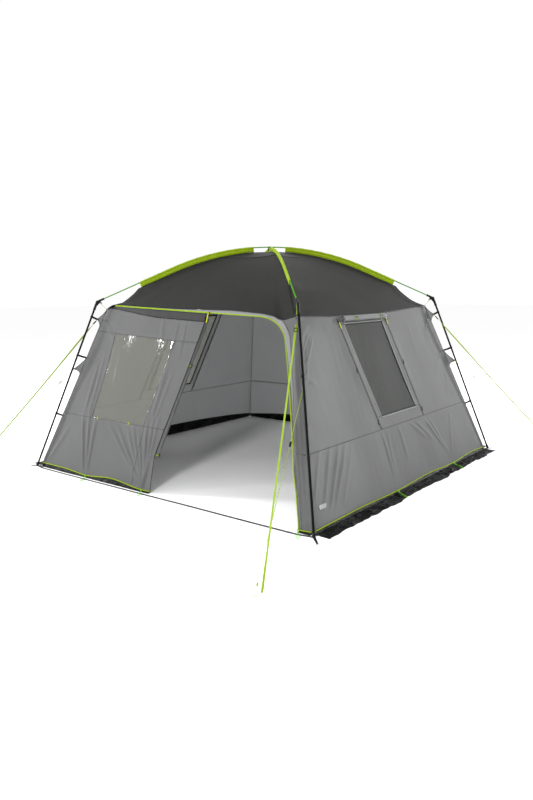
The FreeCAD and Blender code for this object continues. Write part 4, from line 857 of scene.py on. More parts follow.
def make_guy_line(corner):
    """Thin braided guy: one smooth curve through its route."""
    route = guy_route(corner)
    curve = bpy.data.curves.new("guy_line_cord_" + corner, "CURVE")
    curve.dimensions = "3D"
    spline = curve.splines.new("NURBS")
    spline.points.add(len(route) - 1)
    for point, place in zip(spline.points, route):
        point.co = (*place, 1.0)
    spline.order_u = 3
    spline.use_endpoint_u = True
    spline.resolution_u = 16
    curve.bevel_depth = GUY_D / 2
    curve.bevel_resolution = 3
    curve.use_fill_caps = True
    curve.materials.append(LIME_CORD)
    line = bpy.data.objects.new("guy_cord_" + corner, curve)
    bpy.context.scene.collection.objects.link(line)
    keep(line, "lime_cord", "guy_line_" + corner)
    knot = make_guy_knot(corner, route)


def make_guy_knot(corner, route):
    """Small wrapped knot where the ground loop closes on the guy."""
    end = route[1]
    along = unit(end - route[0])
    turns = np.linspace(0, 4.5 * math.tau, 90)
    side = unit(np.cross(along, UP))
    other = np.cross(side, along)
    radius = 0.0042
    reach = turns / turns[-1] * 0.017
    path = (end - along * 0.012) + along * reach[:, None] + radius * (
        np.cos(turns)[:, None] * side + np.sin(turns)[:, None] * other)
    part = swept_part(path, round_section(0.0019, 8), along)
    return keep(joined("guy_knot_" + corner, [part], LIME_CORD), "lime_cord")


def make_storm_band(corner):
    """Flat band from the upper tab to the ground, with its buckle and ground ring."""
    start, end = band_ends(corner)
    along = unit(end - start)
    share = np.linspace(0, 1, 90)
    path = start + (end - start) * share[:, None]
    path = path - UP * (0.010 * np.sin(np.pi * share) ** 2)[:, None]
    across = unit(np.cross(along, UP))
    outward = np.cross(across, along)
    # the band lies flat in its buckle and ring, and is turned on its way between them
    turn = math.radians(BAND_TWIST[corner]) * (ease(share, 0.035, 0.11) - ease(share, 0.86, 0.97))
    facing = np.cos(turn)[:, None] * outward + np.sin(turn)[:, None] * across
    web = swept_part(path, flat_section(BAND_WIDTH, 0.0016), facing)
    band = joined("storm_band_web_" + corner, [web], LIME_WEBBING)
    keep(band, "lime_webbing", "storm_band_" + corner)
    buckle = make_buckle(corner, start - along * GUY_START, along, across, outward)
    ring = make_ground_ring(corner, end, along, across)


def bar_part(start, end, width, thickness, hint):
    path = along_line([start, end], 0.006)
    scale = 1 - 0.16 * (np.linspace(-1, 1, len(path)) ** 8)
    return swept_part(path, flat_section(width, thickness), hint, scale)


def make_buckle(corner, tip, along, across, outward):
    """Ladder buckle: two rails and three cross bars that the band threads through."""
    near, far = tip + along * 0.026, tip + along * 0.068
    parts = []
    for side in (-1, 1):
        rail = across * side * 0.0128
        parts.append(bar_part(near + rail, far + rail, 0.0042, 0.0078, outward))
    for place, lift in ((0.0, 0.0022), (0.5, -0.0026), (1.0, 0.0022)):
        centre = near + (far - near) * (0.06 + 0.88 * place) + outward * lift
        reach = across * 0.0145
        parts.append(bar_part(centre - reach, centre + reach, 0.0058, 0.0036, outward))
    grip = near - along * 0.004
    parts.append(bar_part(grip - across * 0.010, grip + across * 0.010, 0.006, 0.0032, outward))
    buckle = joined("band_buckle_" + corner, parts, BLACK_PLASTIC)
    return keep(buckle, "black_plastic", "storm_band_fittings")


def make_ground_ring(corner, end, along, across):
    """Welded steel ring at the ground end of a band."""
    centre = end + along * (RING_RADIUS + 0.003)
    path, turn = ring_path(centre, RING_RADIUS, along, across)
    bead = 1 + 0.16 * np.exp(-((turn - 4.2) / 0.09) ** 2)
    wire = swept_part(path, round_section(RING_WIRE / 2), np.cross(along, across), bead)
    ring = joined("band_ring_" + corner, [wire], BARE_STEEL)
    return keep(ring, "bare_steel", "storm_band_fittings")


# ---- canopy ------------------------------------------------------------------------------
def pole_height(reach, apex):
    """Height of a roof pole's axis at a distance from the centre: an arc, then a straight end."""
    total, drop = ELBOW[0], apex - ELBOW[2]
    radius = (total * math.tan(POLE_SLOPE) - drop) / (1 / math.cos(POLE_SLOPE) - 1)
    bend = radius * math.sin(POLE_SLOPE)
    r = np.asarray(reach, float)
    arc = apex - radius + np.sqrt(np.maximum(radius ** 2 - np.minimum(r, bend) ** 2, 0))
    return arc - np.maximum(r - bend, 0) * math.tan(POLE_SLOPE)


def ridge_knots(corner):
    """Canopy ridge under a pole, then its free edge down to the corner."""
    knots = [(0.0, CANOPY_TOP)]
    for r in np.linspace(0.2, SLEEVE_END, 8):
        knots.append((float(r), float(pole_height(r, APEX_Z)) - CANOPY_DROP * (1 + 0.12 * r)))
    z = CORNER_Z[corner]
    free_edge = [(1.395, 1.768), (1.450, 1.722), (1.520, 1.672), (1.580, 1.641)]
    return knots + free_edge + [(1.635, z + 0.018), (CANOPY_REACH, z)]


RIDGE_AT = {corner: smooth_curve(ridge_knots(corner)) for corner in CORNER_ANGLE}
# The corners at the two ends of each side, in the order of the place along it.
SIDE_ENDS = {"window": ("front", "right"), "back": ("right", "back"), "left": ("back", "left"),
             "door": ("left", "front")}


def canopy_point(side, u, v, lift=0.0):
    """Point of the roof: u from -1 to 1 between two ridges, v from the centre to the eave."""
    u, v = np.broadcast_arrays(np.asarray(u, float), np.asarray(v, float))
    first, second = SIDE_ENDS[side]
    mix = (u + 1) / 2
    edge_half = CANOPY_REACH / ROOT2
    eave_z = EAVE_AT[side](np.clip(u * edge_half, -EAVE_REACH, EAVE_REACH)) + 0.002
    straight = CORNER_Z[first] * (1 - mix) + CORNER_Z[second] * mix
    # the middle of the panel falls evenly; its two ridges follow the poles
    fall = v ** CANOPY_FALL
    middle = CANOPY_TOP - (CANOPY_TOP - straight) * fall + (eave_z - straight) * v ** 5
    nearest = np.where(u < 0, CORNER_Z[first], CORNER_Z[second])
    ridge = np.where(u < 0, RIDGE_AT[first](CANOPY_REACH * v), RIDGE_AT[second](CANOPY_REACH * v))
    at_ridge = CANOPY_TOP - (CANOPY_TOP - nearest) * fall
    z = middle + np.abs(u) ** 2.6 * (ridge - at_ridge)
    half = edge_half * v
    x = half + v ** 3 * (wall_half(eave_z) - edge_half + 0.003) * (1 - u ** 8)
    from_ridge = 1 - np.abs(u)
    wave = 0.0012 * ripples(u * edge_half, v * 0.25, 71 + len(side), 0.42) * ease(v, 0.35, 0.9)
    past_seam = np.clip((v - CROSS_SEAM) / (1 - CROSS_SEAM), 0, 1)
    wave = wave - 0.012 * np.sin(np.pi * past_seam) + 0.004 * np.exp(-((v - CROSS_SEAM) / 0.05) ** 2)
    corner_pull = 0.0035 * np.sin(from_ridge * 46) * np.exp(-(from_ridge / 0.12) ** 2) * ease(v, 0.8, 1)
    out = ease(from_ridge, 0.0, 0.25) * (wave * (1 - ease(v, 0.93, 1)) + corner_pull) + lift
    point = np.stack(np.broadcast_arrays(x + out * 0.6, u * half, z + out * 0.8), -1)
    return spin(point, SIDE_ANGLE[side])


def make_canopy():
    steps = 96
    radial = 110
    order = ("window", "back", "left", "door")
    v = (np.linspace(0.004, 1, radial) ** 0.9)[:, None]
    columns, uv = [], []
    for index, side in enumerate(order):
        u = np.linspace(-1, 1, steps, endpoint=False)[None, :]
        columns.append(canopy_point(side, u, v))
        uv.append(np.stack(np.broadcast_arrays(u * v * EAVE_REACH + 3 * index, v * 1.4), -1))
    grid, uv = np.concatenate(columns, 1), np.concatenate(uv, 1)
    points, faces, flat = sheet_part(grid, uv, 0.0012, wrap=True)
    ring = steps * len(order)
    count = radial * ring
    # the small hole in the middle loses its rim, and each side of the sheet is closed there
    faces = [face for face in faces if not all(i % count < ring for i in face)]
    faces.append(tuple(range(ring)))
    faces.append(tuple(range(count + ring - 1, count - 1, -1)))
    roof = mesh_object("roof_sheet", points, faces, ROOF_CLOTH, flat)
    keep(roof, "roof_cloth", "canopy")
    # seams: one across each quarter near the top, one down each ridge, and a binding round the edge
    seams, edge = [], []
    for side in order:
        across = canopy_point(side, np.linspace(-0.99, 0.99, 60), CROSS_SEAM, 0.0015)
        seams.append(swept_part(across, flat_section(0.010, 0.0012), UP))
    keep(joined("roof_seams", seams, ROOF_SEAM), "roof_cloth")
    for corner, angle in CORNER_ANGLE.items():
        r = np.linspace(SLEEVE_END + 0.004, CANOPY_REACH, 40)
        ridge = spin(np.stack([r, 0 * r, RIDGE_AT[corner](r) + 0.002], -1), angle)
        edge.append(swept_part(ridge, flat_section(0.012, 0.005), UP))
    for side in order:
        rim = canopy_point(side, np.linspace(-1, 1, 130), 1.0, 0.001)
        edge.append(swept_part(rim, flat_section(0.008, 0.0030), UP))
    keep(joined("roof_binding", edge, EDGE_TAPE), "roof_cloth")


def make_sleeves():
    """Cloth tunnels that the poles run through, sewn along the ridges."""
    starts = {"left": 0.166, "right": 0.166, "front": 0.030, "back": 0.030}
    for corner in CORNER_ANGLE:
        lower = corner in ("front", "back")
        apex = APEX_Z - (POLE_CROSS_GAP if lower else 0)
        r = np.linspace(starts[corner], SLEEVE_END, 170)
        axis = np.stack([r, 0 * r, pole_height(r, apex)], -1)
        foot = axis[:, 2] - RIDGE_AT[corner](r) - 0.001
        turn = np.linspace(-0.86 * np.pi, 0.86 * np.pi, 13)
        rings = []
        for i in range(len(r)):
            puff = 0.0093 + 0.0007 * math.sin(r[i] * 61) + 0.0006 * math.sin(r[i] * 143 + 1)
            lean = 0.0012 * math.sin(r[i] * 37 + 2)
            loop = [(math.sin(t) * puff, math.cos(t) * puff) for t in turn]
            deep = foot[i]
            right = [(0.0030 + lean, -0.45 * deep), (0.0018, -deep)]
            left = [(-0.0018, -deep), (-0.0030 + lean, -0.45 * deep)]
            rings.append(loop + right + left)
        section = np.array(rings)
        part = swept_part(axis, section, UP, uv_across=np.linspace(0, 0.12, section.shape[1]))
        corner_piece("pole_sleeve", corner, [part], LIME_CLOTH, "lime_cloth", "pole_sleeves")


# ---- fabric walls ------------------------------------------------------------------------
def window_edge(offset):
    """Line beside the slanted window, as a place along the wall for a height."""
    return lambda z: MESH_LEFT_AT_TOP + offset + MESH_LEAN * (MESH_TOP - np.asarray(z, float))


def corner_edge(sign):
    return lambda z: sign * (wall_half(np.asarray(z, float)) - 0.001)


def eave(side):
    return lambda s: EAVE_AT[side](s) - 0.002


def edge_line(edge, first, last):
    """Line along an edge, from one height to another."""
    return [(float(edge(first)), first), (float(edge(last)), last)]


def across_window(left, right, z, shift=0.0):
    """Level line between two lines beside the slanted window."""
    return [(float(window_edge(offset)(z)), z + shift) for offset in (left, right)]


def seam_line():
    """The horizontal seam, nearly from corner to corner."""
    reach = wall_half(SEAM_Z) - 0.01
    return [(-reach, SEAM_Z), (reach, SEAM_Z)]


def make_window_wall(side, name, node):
    left, right = corner_edge(-1), corner_edge(1)
    zip_left, zip_right = window_edge(-MESH_BORDER), window_edge(MESH_WIDTH + MESH_BORDER)
    mesh_left, mesh_right = window_edge(0.0), window_edge(MESH_WIDTH)
    seam, sill, head = level(SEAM_Z), level(MESH_SILL), level(MESH_TOP)
    fine = 0.012
    parts = [
        panel_part(side, left, zip_left, seam, eave(side), fine),
        panel_part(side, zip_right, right, seam, eave(side), fine),
        panel_part(side, zip_left, zip_right, seam, sill, fine),
        panel_part(side, zip_left, zip_right, head, eave(side), fine),
        panel_part(side, left, right, HEM_AT[side], seam, fine),
    ]
    wall = joined(name, parts, WALL_CLOTH)
    keep(wall, "wall_cloth", node)
    border = [panel_part(side, zip_left, mesh_left, sill, head, fine),
              panel_part(side, mesh_right, zip_right, sill, head, fine)]
    keep(joined(name + "_window_border", border, BORDER_CLOTH), "wall_cloth")
    make_net(side, name)
    make_window_trim(side, name)


def make_net(side, name):
    over = 0.004
    part = panel_part(side, window_edge(-over), window_edge(MESH_WIDTH + over), level(MESH_SILL - over),
                      level(MESH_TOP + over), 0.02, -0.0012, 0.0005)
    net = joined(name + "_net", [part], NET)
    keep(net, "window_mesh", "mesh_windows")


def make_window_trim(side, name):
    """Seams, the pale bindings beside the net, the dark bindings behind its edges and the small tie tabs.
    """
    low, high = MESH_SILL, MESH_TOP
    seams = [tape_part(side, seam_line(), 0.0065, 0.0012, 0.0011)]
    keep(joined(name + "_seams", seams, SEAM_TAPE), "wall_cloth")
    pale = []
    for offset in (-0.008, MESH_WIDTH + 0.008):
        line = edge_line(window_edge(offset), low, high)
        pale.append(tape_part(side, line, 0.014, 0.0014, 0.0032))
    for z, shift in ((low, -0.006), (high, 0.006)):
        line = across_window(-0.010, MESH_WIDTH + 0.010, z, shift)
        pale.append(tape_part(side, line, 0.012, 0.0012, 0.0022))
    keep(joined(name + "_window_binding", pale, PALE_TAPE), "wall_cloth")
    inner = []
    for offset in (0.004, MESH_WIDTH - 0.004):
        line = edge_line(window_edge(offset), low, high)
        inner.append(tape_part(side, line, 0.016, 0.0012, -0.0030))
    for z in (low + 0.002, high - 0.002):
        inner.append(tape_part(side, across_window(0.0, MESH_WIDTH, z), 0.014, 0.0012, -0.0030))
    keep(joined(name + "_inner_binding", inner, EDGE_TAPE), "wall_cloth")
    tabs = []
    for offset in (-MESH_BORDER - 0.016, MESH_WIDTH + MESH_BORDER + 0.016):
        for z in (1.085, 0.615):
            place = float(window_edge(offset)(z))
            line = [(place, z - 0.022), (place + 0.006, z + 0.022)]
            tabs.append(tape_part(side, line, 0.012, 0.0022, 0.0050, 0.006))
    keep(joined(name + "_tie_tabs", tabs, BLACK_WEBBING), "wall_cloth")


def make_blank_label():
    """Small plain woven patch low on the window wall, with nothing on it."""
    s, z = -1.515, 0.160
    left, right = (line_edge((s + half, 0.0), (s + half - 0.001, 1.0)) for half in (-0.040, 0.040))
    part = panel_part("window", left, right, level(z - 0.017), level(z + 0.017), 0.006, 0.0045)
    keep(joined("blank_patch", [part], LABEL_CLOTH), "grey_webbing")


def make_back_wall():
    side = "back"
    left, right = corner_edge(-1), corner_edge(1)
    parts = [panel_part(side, left, right, HEM_AT[side], level(SEAM_Z), 0.016),
             panel_part(side, left, right, level(SEAM_Z), eave(side), 0.016)]
    wall = joined("back_wall_cloth", parts, WALL_CLOTH)
    keep(wall, "wall_cloth", "back_wall")
    seams = [tape_part(side, seam_line(), 0.010, 0.0010, 0.0011)]
    for s in (-0.55, 0.55):
        upright = [(s, SEAM_Z + 0.004), (s * 0.9, float(EAVE_AT[side](s)) - 0.01)]
        seams.append(tape_part(side, upright, 0.010, 0.0010, 0.0011))
    keep(joined("back_wall_seams", seams, SEAM_TAPE), "wall_cloth")


# ---- door wall ---------------------------------------------------------------------------
def zip_height(s):
    return line_top(ZIP_START, ZIP_END)(s)


def jamb_s(z):
    return wall_half(np.asarray(z, float)) - JAMB_WIDTH


def roll_edge(z):
    """Right edge of the closed part of the door, along the rolled part."""
    above = line_edge(ROLL_TIE, ROLL_TOP)(z)
    below = line_edge((LEAF_FOOT_S, 0.02), ROLL_TIE)(z)
    return np.where(np.asarray(z, float) > ROLL_TIE[1], above, below)


def door_zip_line():
    """The door's zip: a straight run under the eave, a rounded corner, then down the jamb."""
    start, end = ZIP_END, (float(jamb_s(JAMB_TOP)), JAMB_TOP)
    knee = (float(jamb_s(zip_height(ZIP_END[0]))) - 0.025, ZIP_END[1] - 0.008)
    t = np.linspace(0, 1, 26)[:, None]
    bend = (1 - t) ** 2 * np.array(start) + 2 * t * (1 - t) * np.array(knee) + t * t * np.array(end)
    foot = (float(jamb_s(0.018)), 0.018)
    return along_line(np.vstack([[ZIP_START], bend, [foot]]), 0.010)


def make_door_surround():
    """Cloth left in place round the doorway, from the zip out to the eave and the corner."""
    side = "door"
    line = door_zip_line()
    outer = []
    for s, z in line:
        if z > 1.50:
            outer.append((s + 0.16 * ease(s, 0.80, 1.10), None))
        else:
            outer.append((float(wall_half(z)) - 0.001, z))
    turn = [i for i, (s, z) in enumerate(outer) if z is not None][0]
    rim = []
    eave_end = EAVE_REACH - 0.002
    for index, (s, z) in enumerate(outer):
        if z is None:
            s = min(s, eave_end)
            rim.append((s, float(EAVE_AT[side](s)) - 0.002))
        else:
            share = ease(index, turn, turn + 14)
            top = float(EAVE_AT[side](eave_end)) - 0.002
            height = top * (1 - share) + z * share
            rim.append((float(wall_half(height)) - 0.001, height))
    rim = np.array(rim)
    across = np.linspace(0, 1, 16)
    s = line[:, :1] * (1 - across) + rim[:, :1] * across
    z = line[:, 1:] * (1 - across) + rim[:, 1:] * across
    grid = on_wall(side, s, z)
    part = sheet_part(grid[::-1], np.stack([s, z], -1)[::-1])
    cloth = joined("door_surround_cloth", [part], WALL_CLOTH)
    keep(cloth, "wall_cloth", "door_surround")
    # pale storm flap beside the zip, and the darker seam line outside it
    tangent = unit(np.gradient(line, axis=0))
    outside = np.stack([-tangent[:, 1], tangent[:, 0]], 1)
    # how far the flap can reach before it meets the eave
    room = np.full(len(line), 0.006)
    for reach in np.linspace(0.008, 0.050, 22):
        tip = line + outside * reach
        free = (tip[:, 1] < EAVE_AT[side](tip[:, 0]) - 0.003) & (tip[:, 0] < wall_half(tip[:, 1]) - 0.01)
        room = np.where(free, reach, room)
    offset = np.minimum(0.024, room * 0.5)
    middle = line + outside * offset[:, None]
    path = on_wall(side, middle[:, 0], middle[:, 1], 0.0030)
    grow = (0.25 + 0.75 * ease(line[:, 0], -0.7, 0.7)) * (0.06 + 0.94 * ease(line[:, 1], 0.75, 1.50))
    half = np.minimum(0.020 * grow, np.maximum(room * 0.5 - 0.001, 0.002))
    section = np.array([np.array(flat_section(1.0, 0.0016)) * [2 * h, 1] for h in half])
    flap = joined("door_zip_flap", [swept_part(path, section, side_normal(side))], PALE_TAPE)
    keep(flap, "wall_cloth")
    edge = line + outside * (offset + half + 0.004)[:, None]
    jamb = edge[line[:, 0] > 0.86]
    low_seam = [(float(jamb_s(SEAM_Z)) + 0.05, SEAM_Z), seam_line()[1]]
    seams = [tape_part(side, jamb, 0.007, 0.0012, 0.0016),
             tape_part(side, low_seam, 0.010, 0.0010, 0.0011)]
    keep(joined("door_surround_seams", seams, SEAM_TAPE), "wall_cloth")


def make_door_leaf():
    side = "door"
    left = corner_edge(-1)
    seam = SEAM_Z + 0.008
    (ax, az), (bx, bz), (cx, cz), (dx, dz) = PANE
    top_line = line_top((ax, az), (bx, bz))

    def head(s):
        under_zip = zip_height(s) - 0.005
        corner = line_top((-EAVE_REACH, 1.604), ZIP_START)(s) - 0.004
        return np.where(np.asarray(s) < ZIP_START[0], corner, under_zip)

    pane_left, pane_right = line_edge((ax, az), (dx, dz)), line_edge((bx, bz), (cx, cz))
    fine = 0.010
    parts = [
        panel_part(side, left, roll_edge, top_line, head, fine),
        panel_part(side, left, pane_left, level(seam), top_line, fine),
        panel_part(side, pane_right, roll_edge, level(seam), top_line, fine),
        panel_part(side, left, roll_edge, HEM_AT[side], level(seam), fine),
    ]
    leaf = joined("door_leaf_cloth", parts, WALL_CLOTH)
    keep(leaf, "wall_cloth", "door_leaf")
    over = 0.004
    part = panel_part(side, line_edge((ax - over, az), (dx - over, dz)),
                      line_edge((bx + over, bz), (cx + over, cz)), level(seam - over),
                      lambda s: top_line(s) + over, 0.014, -0.0014, 0.0005)
    pane = joined("door_pane", [part], PANE_SHEET)
    keep(pane, "clear_pane", "pvc_window")
    low_seam = [(-wall_half(seam) + 0.01, seam), (float(roll_edge(seam)) - 0.006, seam)]
    high_seam = [(-wall_half(az) + 0.01, az + 0.02), (ax, az), (bx, bz),
                 (float(roll_edge(bz)) - 0.01, bz - 0.004)]
    seams = [
        tape_part(side, low_seam, 0.010, 0.001, 0.0012),
        tape_part(side, high_seam, 0.009, 0.001, 0.0012),
        tape_part(side, [(ax, az), (dx, seam)], 0.008, 0.001, 0.0012),
        tape_part(side, [(bx, bz), (cx, seam)], 0.008, 0.001, 0.0012),
        tape_part(side, [(-0.30, seam), (-0.312, 0.05)], 0.006, 0.0009, 0.0012),
    ]
    keep(joined("door_leaf_seams", seams, SEAM_TAPE), "wall_cloth")
    zs = np.linspace(0.03, 1.57, 90)
    binding = tape_part(side, np.stack([roll_edge(zs) - 0.003, zs], 1), 0.009, 0.0026, 0.0006)
    keep(joined("door_leaf_binding", [binding], FLAP_CLOTH), "wall_cloth")
    tags = [tape_part(side, [(s, seam - 0.012), (s + 0.002, seam + 0.014)], 0.008, 0.0016, 0.0026, 0.005)
            for s in (-0.98, -0.52)]
    keep(joined("pane_tie_tags", tags, RIBBON), "pull_ribbon")


def make_rain_flap():
    """Dark flap sewn under the eave, over the top of the closed part of the door."""
    side = "door"
    left, right, depth = -1.168, 0.206, 0.082

    def low(s):
        return (zip_height(s) - depth) + 0.052 * ease(-np.asarray(s, float), 0.35, 1.17)

    def high(s):
        corner = line_top((-EAVE_REACH, 1.596), (ZIP_START[0], 1.640))(s)
        return np.where(np.asarray(s) < ZIP_START[0], corner, zip_height(s) - 0.009)

    s, z = leaning_panel(level(left), level(right), low, high, 0.011)
    wave = 0.0035 + 0.002 * ripples(s, z * 0.5, 5, 0.2) * ease(high(s) - z, 0.0, 0.05)
    grid = on_wall(side, s, z, wave)
    part = sheet_part(grid.transpose(1, 0, 2), np.stack([s, z], -1).transpose(1, 0, 2), 0.0012)
    flap = joined("door_header_flap", [part], FLAP_CLOTH)
    keep(flap, "roof_cloth", "door_rain_flap")
    s = np.linspace(left, right, 90)
    hem_tape = tape_part(side, np.stack([s, low(s) + 0.003], 1), 0.009, 0.0014, 0.0044)
    end = right - 0.004
    end_line = [(end, float(zip_height(right)) - depth), (end, 1.592)]
    end_tape = tape_part(side, end_line, 0.012, 0.0020, 0.0046)
    keep(joined("door_header_hem", [hem_tape, end_tape], EDGE_TAPE), "roof_cloth")


ROLL_RADIUS, WINDOW_ROLL_RADIUS, TIE_ROOM = 0.030, 0.027, 0.003
ROLL_SHIFT = (-0.034, -0.010)
ROLL_CORE, ROLL_OVAL, ROLL_STEPS = 0.0035, 0.86, 18
# Where the two ties pinch a roll: share of its length, and how far the pinch spreads.
DOOR_TIES = ((0.34, 0.03), (0.985, 0.03))
WINDOW_TIES = ((0.26, 0.035), (0.86, 0.035))


def rolled_cloth(name, start, end, outward, radius, turns, seed, node, pinches):
    """A sheet rolled up round a line. Ties pinch it, and its layers are a little uneven."""
    length = float(np.linalg.norm(end - start))
    rows = max(40, int(length / 0.016))
    share = np.linspace(0, 1, rows)
    angle = np.linspace(0, turns * math.tau, turns * ROLL_STEPS)[None, :]
    grow = ROLL_CORE + (radius - ROLL_CORE) * (angle / angle.max())
    along = unit(end - start)
    side = unit(np.cross(along, outward))
    other = np.cross(side, along)
    pinch = np.ones(rows)
    for place, width in pinches:
        pinch = pinch - 0.20 * np.exp(-((share - place) / width) ** 2)
    t = share[:, None]
    uneven = (0.10 * ripples(t * 2.2, angle * 0.10, seed, 0.55)
              + 0.04 * ripples(t * 6, angle * 0.3, seed + 1, 0.6))
    loose = 1 + uneven * (grow / radius)
    size = grow * pinch[:, None] * np.clip(loose, 0.82, 1.0)
    sway = other * (0.004 * ripples(share, share * 0, seed + 2, 0.5))[:, None]
    centre = start + (end - start) * t + sway
    points = (centre[:, None] + (size * np.cos(angle + seed))[..., None] * side
              + (size * ROLL_OVAL * np.sin(angle + seed))[..., None] * other)
    middle = points[rows // 2]
    reach = np.cumsum(np.linalg.norm(np.diff(middle, axis=0, prepend=middle[:1]), axis=1))
    uv = np.stack(np.broadcast_arrays(reach[None, :], t * length), -1)
    # the roll takes the darkened wall grey, a painted shade
    roll = joined(name, [sheet_part(points, uv, 0.0007)], SHADED_ROLL_CLOTH)
    keep(roll, "wall_cloth", node)


def flat_wall_point(side, s, z, lift):
    return spin(np.array([wall_half(z), s, z]) + WALL_NORMAL * lift, SIDE_ANGLE[side])


def make_door_roll():
    depth = -(ROLL_RADIUS + 0.003 + TIE_ROOM)
    start = flat_wall_point("door", ROLL_TOP[0] + ROLL_SHIFT[0], ROLL_TOP[1], depth)
    end = flat_wall_point("door", ROLL_TIE[0] + ROLL_SHIFT[1], ROLL_TIE[1], depth)
    rolled_cloth("door_roll_cloth", start, end, side_normal("door"), 0.0295, 12, 3,
                 "door_roll", DOOR_TIES)
    outward = unit(np.cross(end - start, side_normal("door")))
    if outward[0] < 0:
        outward = -outward
    make_ties("door_roll", start, end, DOOR_TIES, ROLL_RADIUS, outward)


def make_window_roll(side, name):
    z = MESH_TOP + 0.040
    lift = WINDOW_ROLL_RADIUS + TIE_ROOM
    start = flat_wall_point(side, float(window_edge(-0.044)(z)), z, lift)
    end = flat_wall_point(side, float(window_edge(MESH_WIDTH + 0.044)(z)), z, lift)
    rolled_cloth(name, start, end, side_normal(side), 0.0265, 10, 8,
                 "window_flap_rolls", WINDOW_TIES)
    make_ties(name, start, end, WINDOW_TIES, WINDOW_ROLL_RADIUS, side_normal(side))


def make_ties(name, start, end, ties, radius, outward):
    for index, (place, _) in enumerate(ties):
        centre = start + (end - start) * place
        make_tie("%s_tie_%d" % (name, index + 1), centre, end - start, radius, outward)


def make_tie(name, centre, axis, radius, outward):
    """Elastic loop round a roll, closed over a small barrel toggle."""
    axis, outward = unit(axis), unit(outward)
    side = np.cross(axis, outward)
    turn = np.linspace(0, math.tau, 57)
    # an oval pulled out towards the toggle
    out = radius * 0.86 * np.cos(turn) + 0.0065 * np.exp(-(np.minimum(turn, math.tau - turn) / 0.35) ** 2)
    path = centre + (radius * 0.93 * np.sin(turn))[:, None] * side + out[:, None] * outward
    band = swept_part(path, flat_section(0.009, 0.0026), path - centre)
    keep(joined(name + "_elastic", [band], LIME_WEBBING), "lime_cord", "roll_toggles")
    bar_at = centre + outward * (radius * 0.86 + 0.0075)
    length = 0.034
    path = along_line([bar_at - axis * length / 2, bar_at + axis * length / 2], 0.0017)
    x = np.linspace(-1, 1, len(path))
    barrel = 0.0046 * (1 - 0.30 * np.exp(-(x / 0.16) ** 2)) * np.sqrt(np.clip(1.02 - x ** 8, 0.05, 1))
    part = swept_part(path, round_section(1.0, 16), outward, barrel)
    keep(joined(name + "_toggle", [part], BLACK_PLASTIC), "black_plastic", "roll_toggles")


# ---- zips --------------------------------------------------------------------------------
def teeth_part(path, normal, width, height):
    """Coil of a zip: one small tapered tooth after another along the path."""
    pitch = 0.0030
    line = along_line(path, pitch)
    tangent = unit(np.gradient(line, axis=0))
    side = np.cross(tangent, normal)
    long, wide = pitch * 0.34, width / 2
    profile = [(-long, -wide, 0), (long, -wide, 0), (long, wide, 0), (-long, wide, 0),
               (-long * 0.7, -wide * 0.72, height), (long * 0.7, -wide * 0.72, height),
               (long * 0.7, wide * 0.72, height), (-long * 0.7, wide * 0.72, height)]
    faces_of = [(0, 3, 2, 1), (4, 5, 6, 7), (0, 1, 5, 4), (1, 2, 6, 5), (2, 3, 7, 6), (3, 0, 4, 7)]
    points, faces, uv = [], [], []
    for index, (place, along, across) in enumerate(zip(line, tangent, side)):
        skew = 0.25 * (1 if index % 2 else -1)
        for x, y, z in profile:
            points.append(place + along * (x + skew * y * 0.3) + across * y + normal * z)
            uv.append((index * pitch + x, y))
        faces += [tuple(index * 8 + k for k in face) for face in faces_of]
    return points, faces, uv


def make_door_zip():
    side = "door"
    line = door_zip_line()
    normal = side_normal(side)
    closed = line[line[:, 0] <= SLIDER_S]
    past = line[len(closed) - 1:]
    tapes = [tape_part(side, run, width, 0.0010, 0.0040, 0.010)
             for run, width in ((closed, 0.012), (past, 0.010))]
    keep(joined("door_zip_tape", tapes, LIME_PIPING), "lime_zip", "door_zip_track")
    teeth = [teeth_part(wall_path(side, run, 0.0042, 0.005), normal, width, 0.0020)
             for run, width in ((closed, 0.0056), (past, 0.0046))]
    keep(joined("door_zip_teeth", teeth, ZIP_PLASTIC), "lime_zip")


def make_window_zips():
    for side, name in (("window", "right"), ("left", "left")):
        for offset, letter in ((-MESH_BORDER, "a"), (MESH_WIDTH + MESH_BORDER, "b")):
            line = edge_line(window_edge(offset), WINDOW_ZIP_TOP, WINDOW_ZIP_LOW)
            label = "%s_window_zip_%s" % (name, letter)
            tape = joined(label + "_tape", [tape_part(side, line, 0.024, 0.0010, 0.0016)], SEAM_TAPE)
            keep(tape, "grey_zip", "window_zip_tracks")
            teeth = teeth_part(wall_path(side, line, 0.0020, 0.005), side_normal(side), 0.0060, 0.0018)
            keep(joined(label + "_teeth", [teeth], DARK_ZIP), "grey_zip")


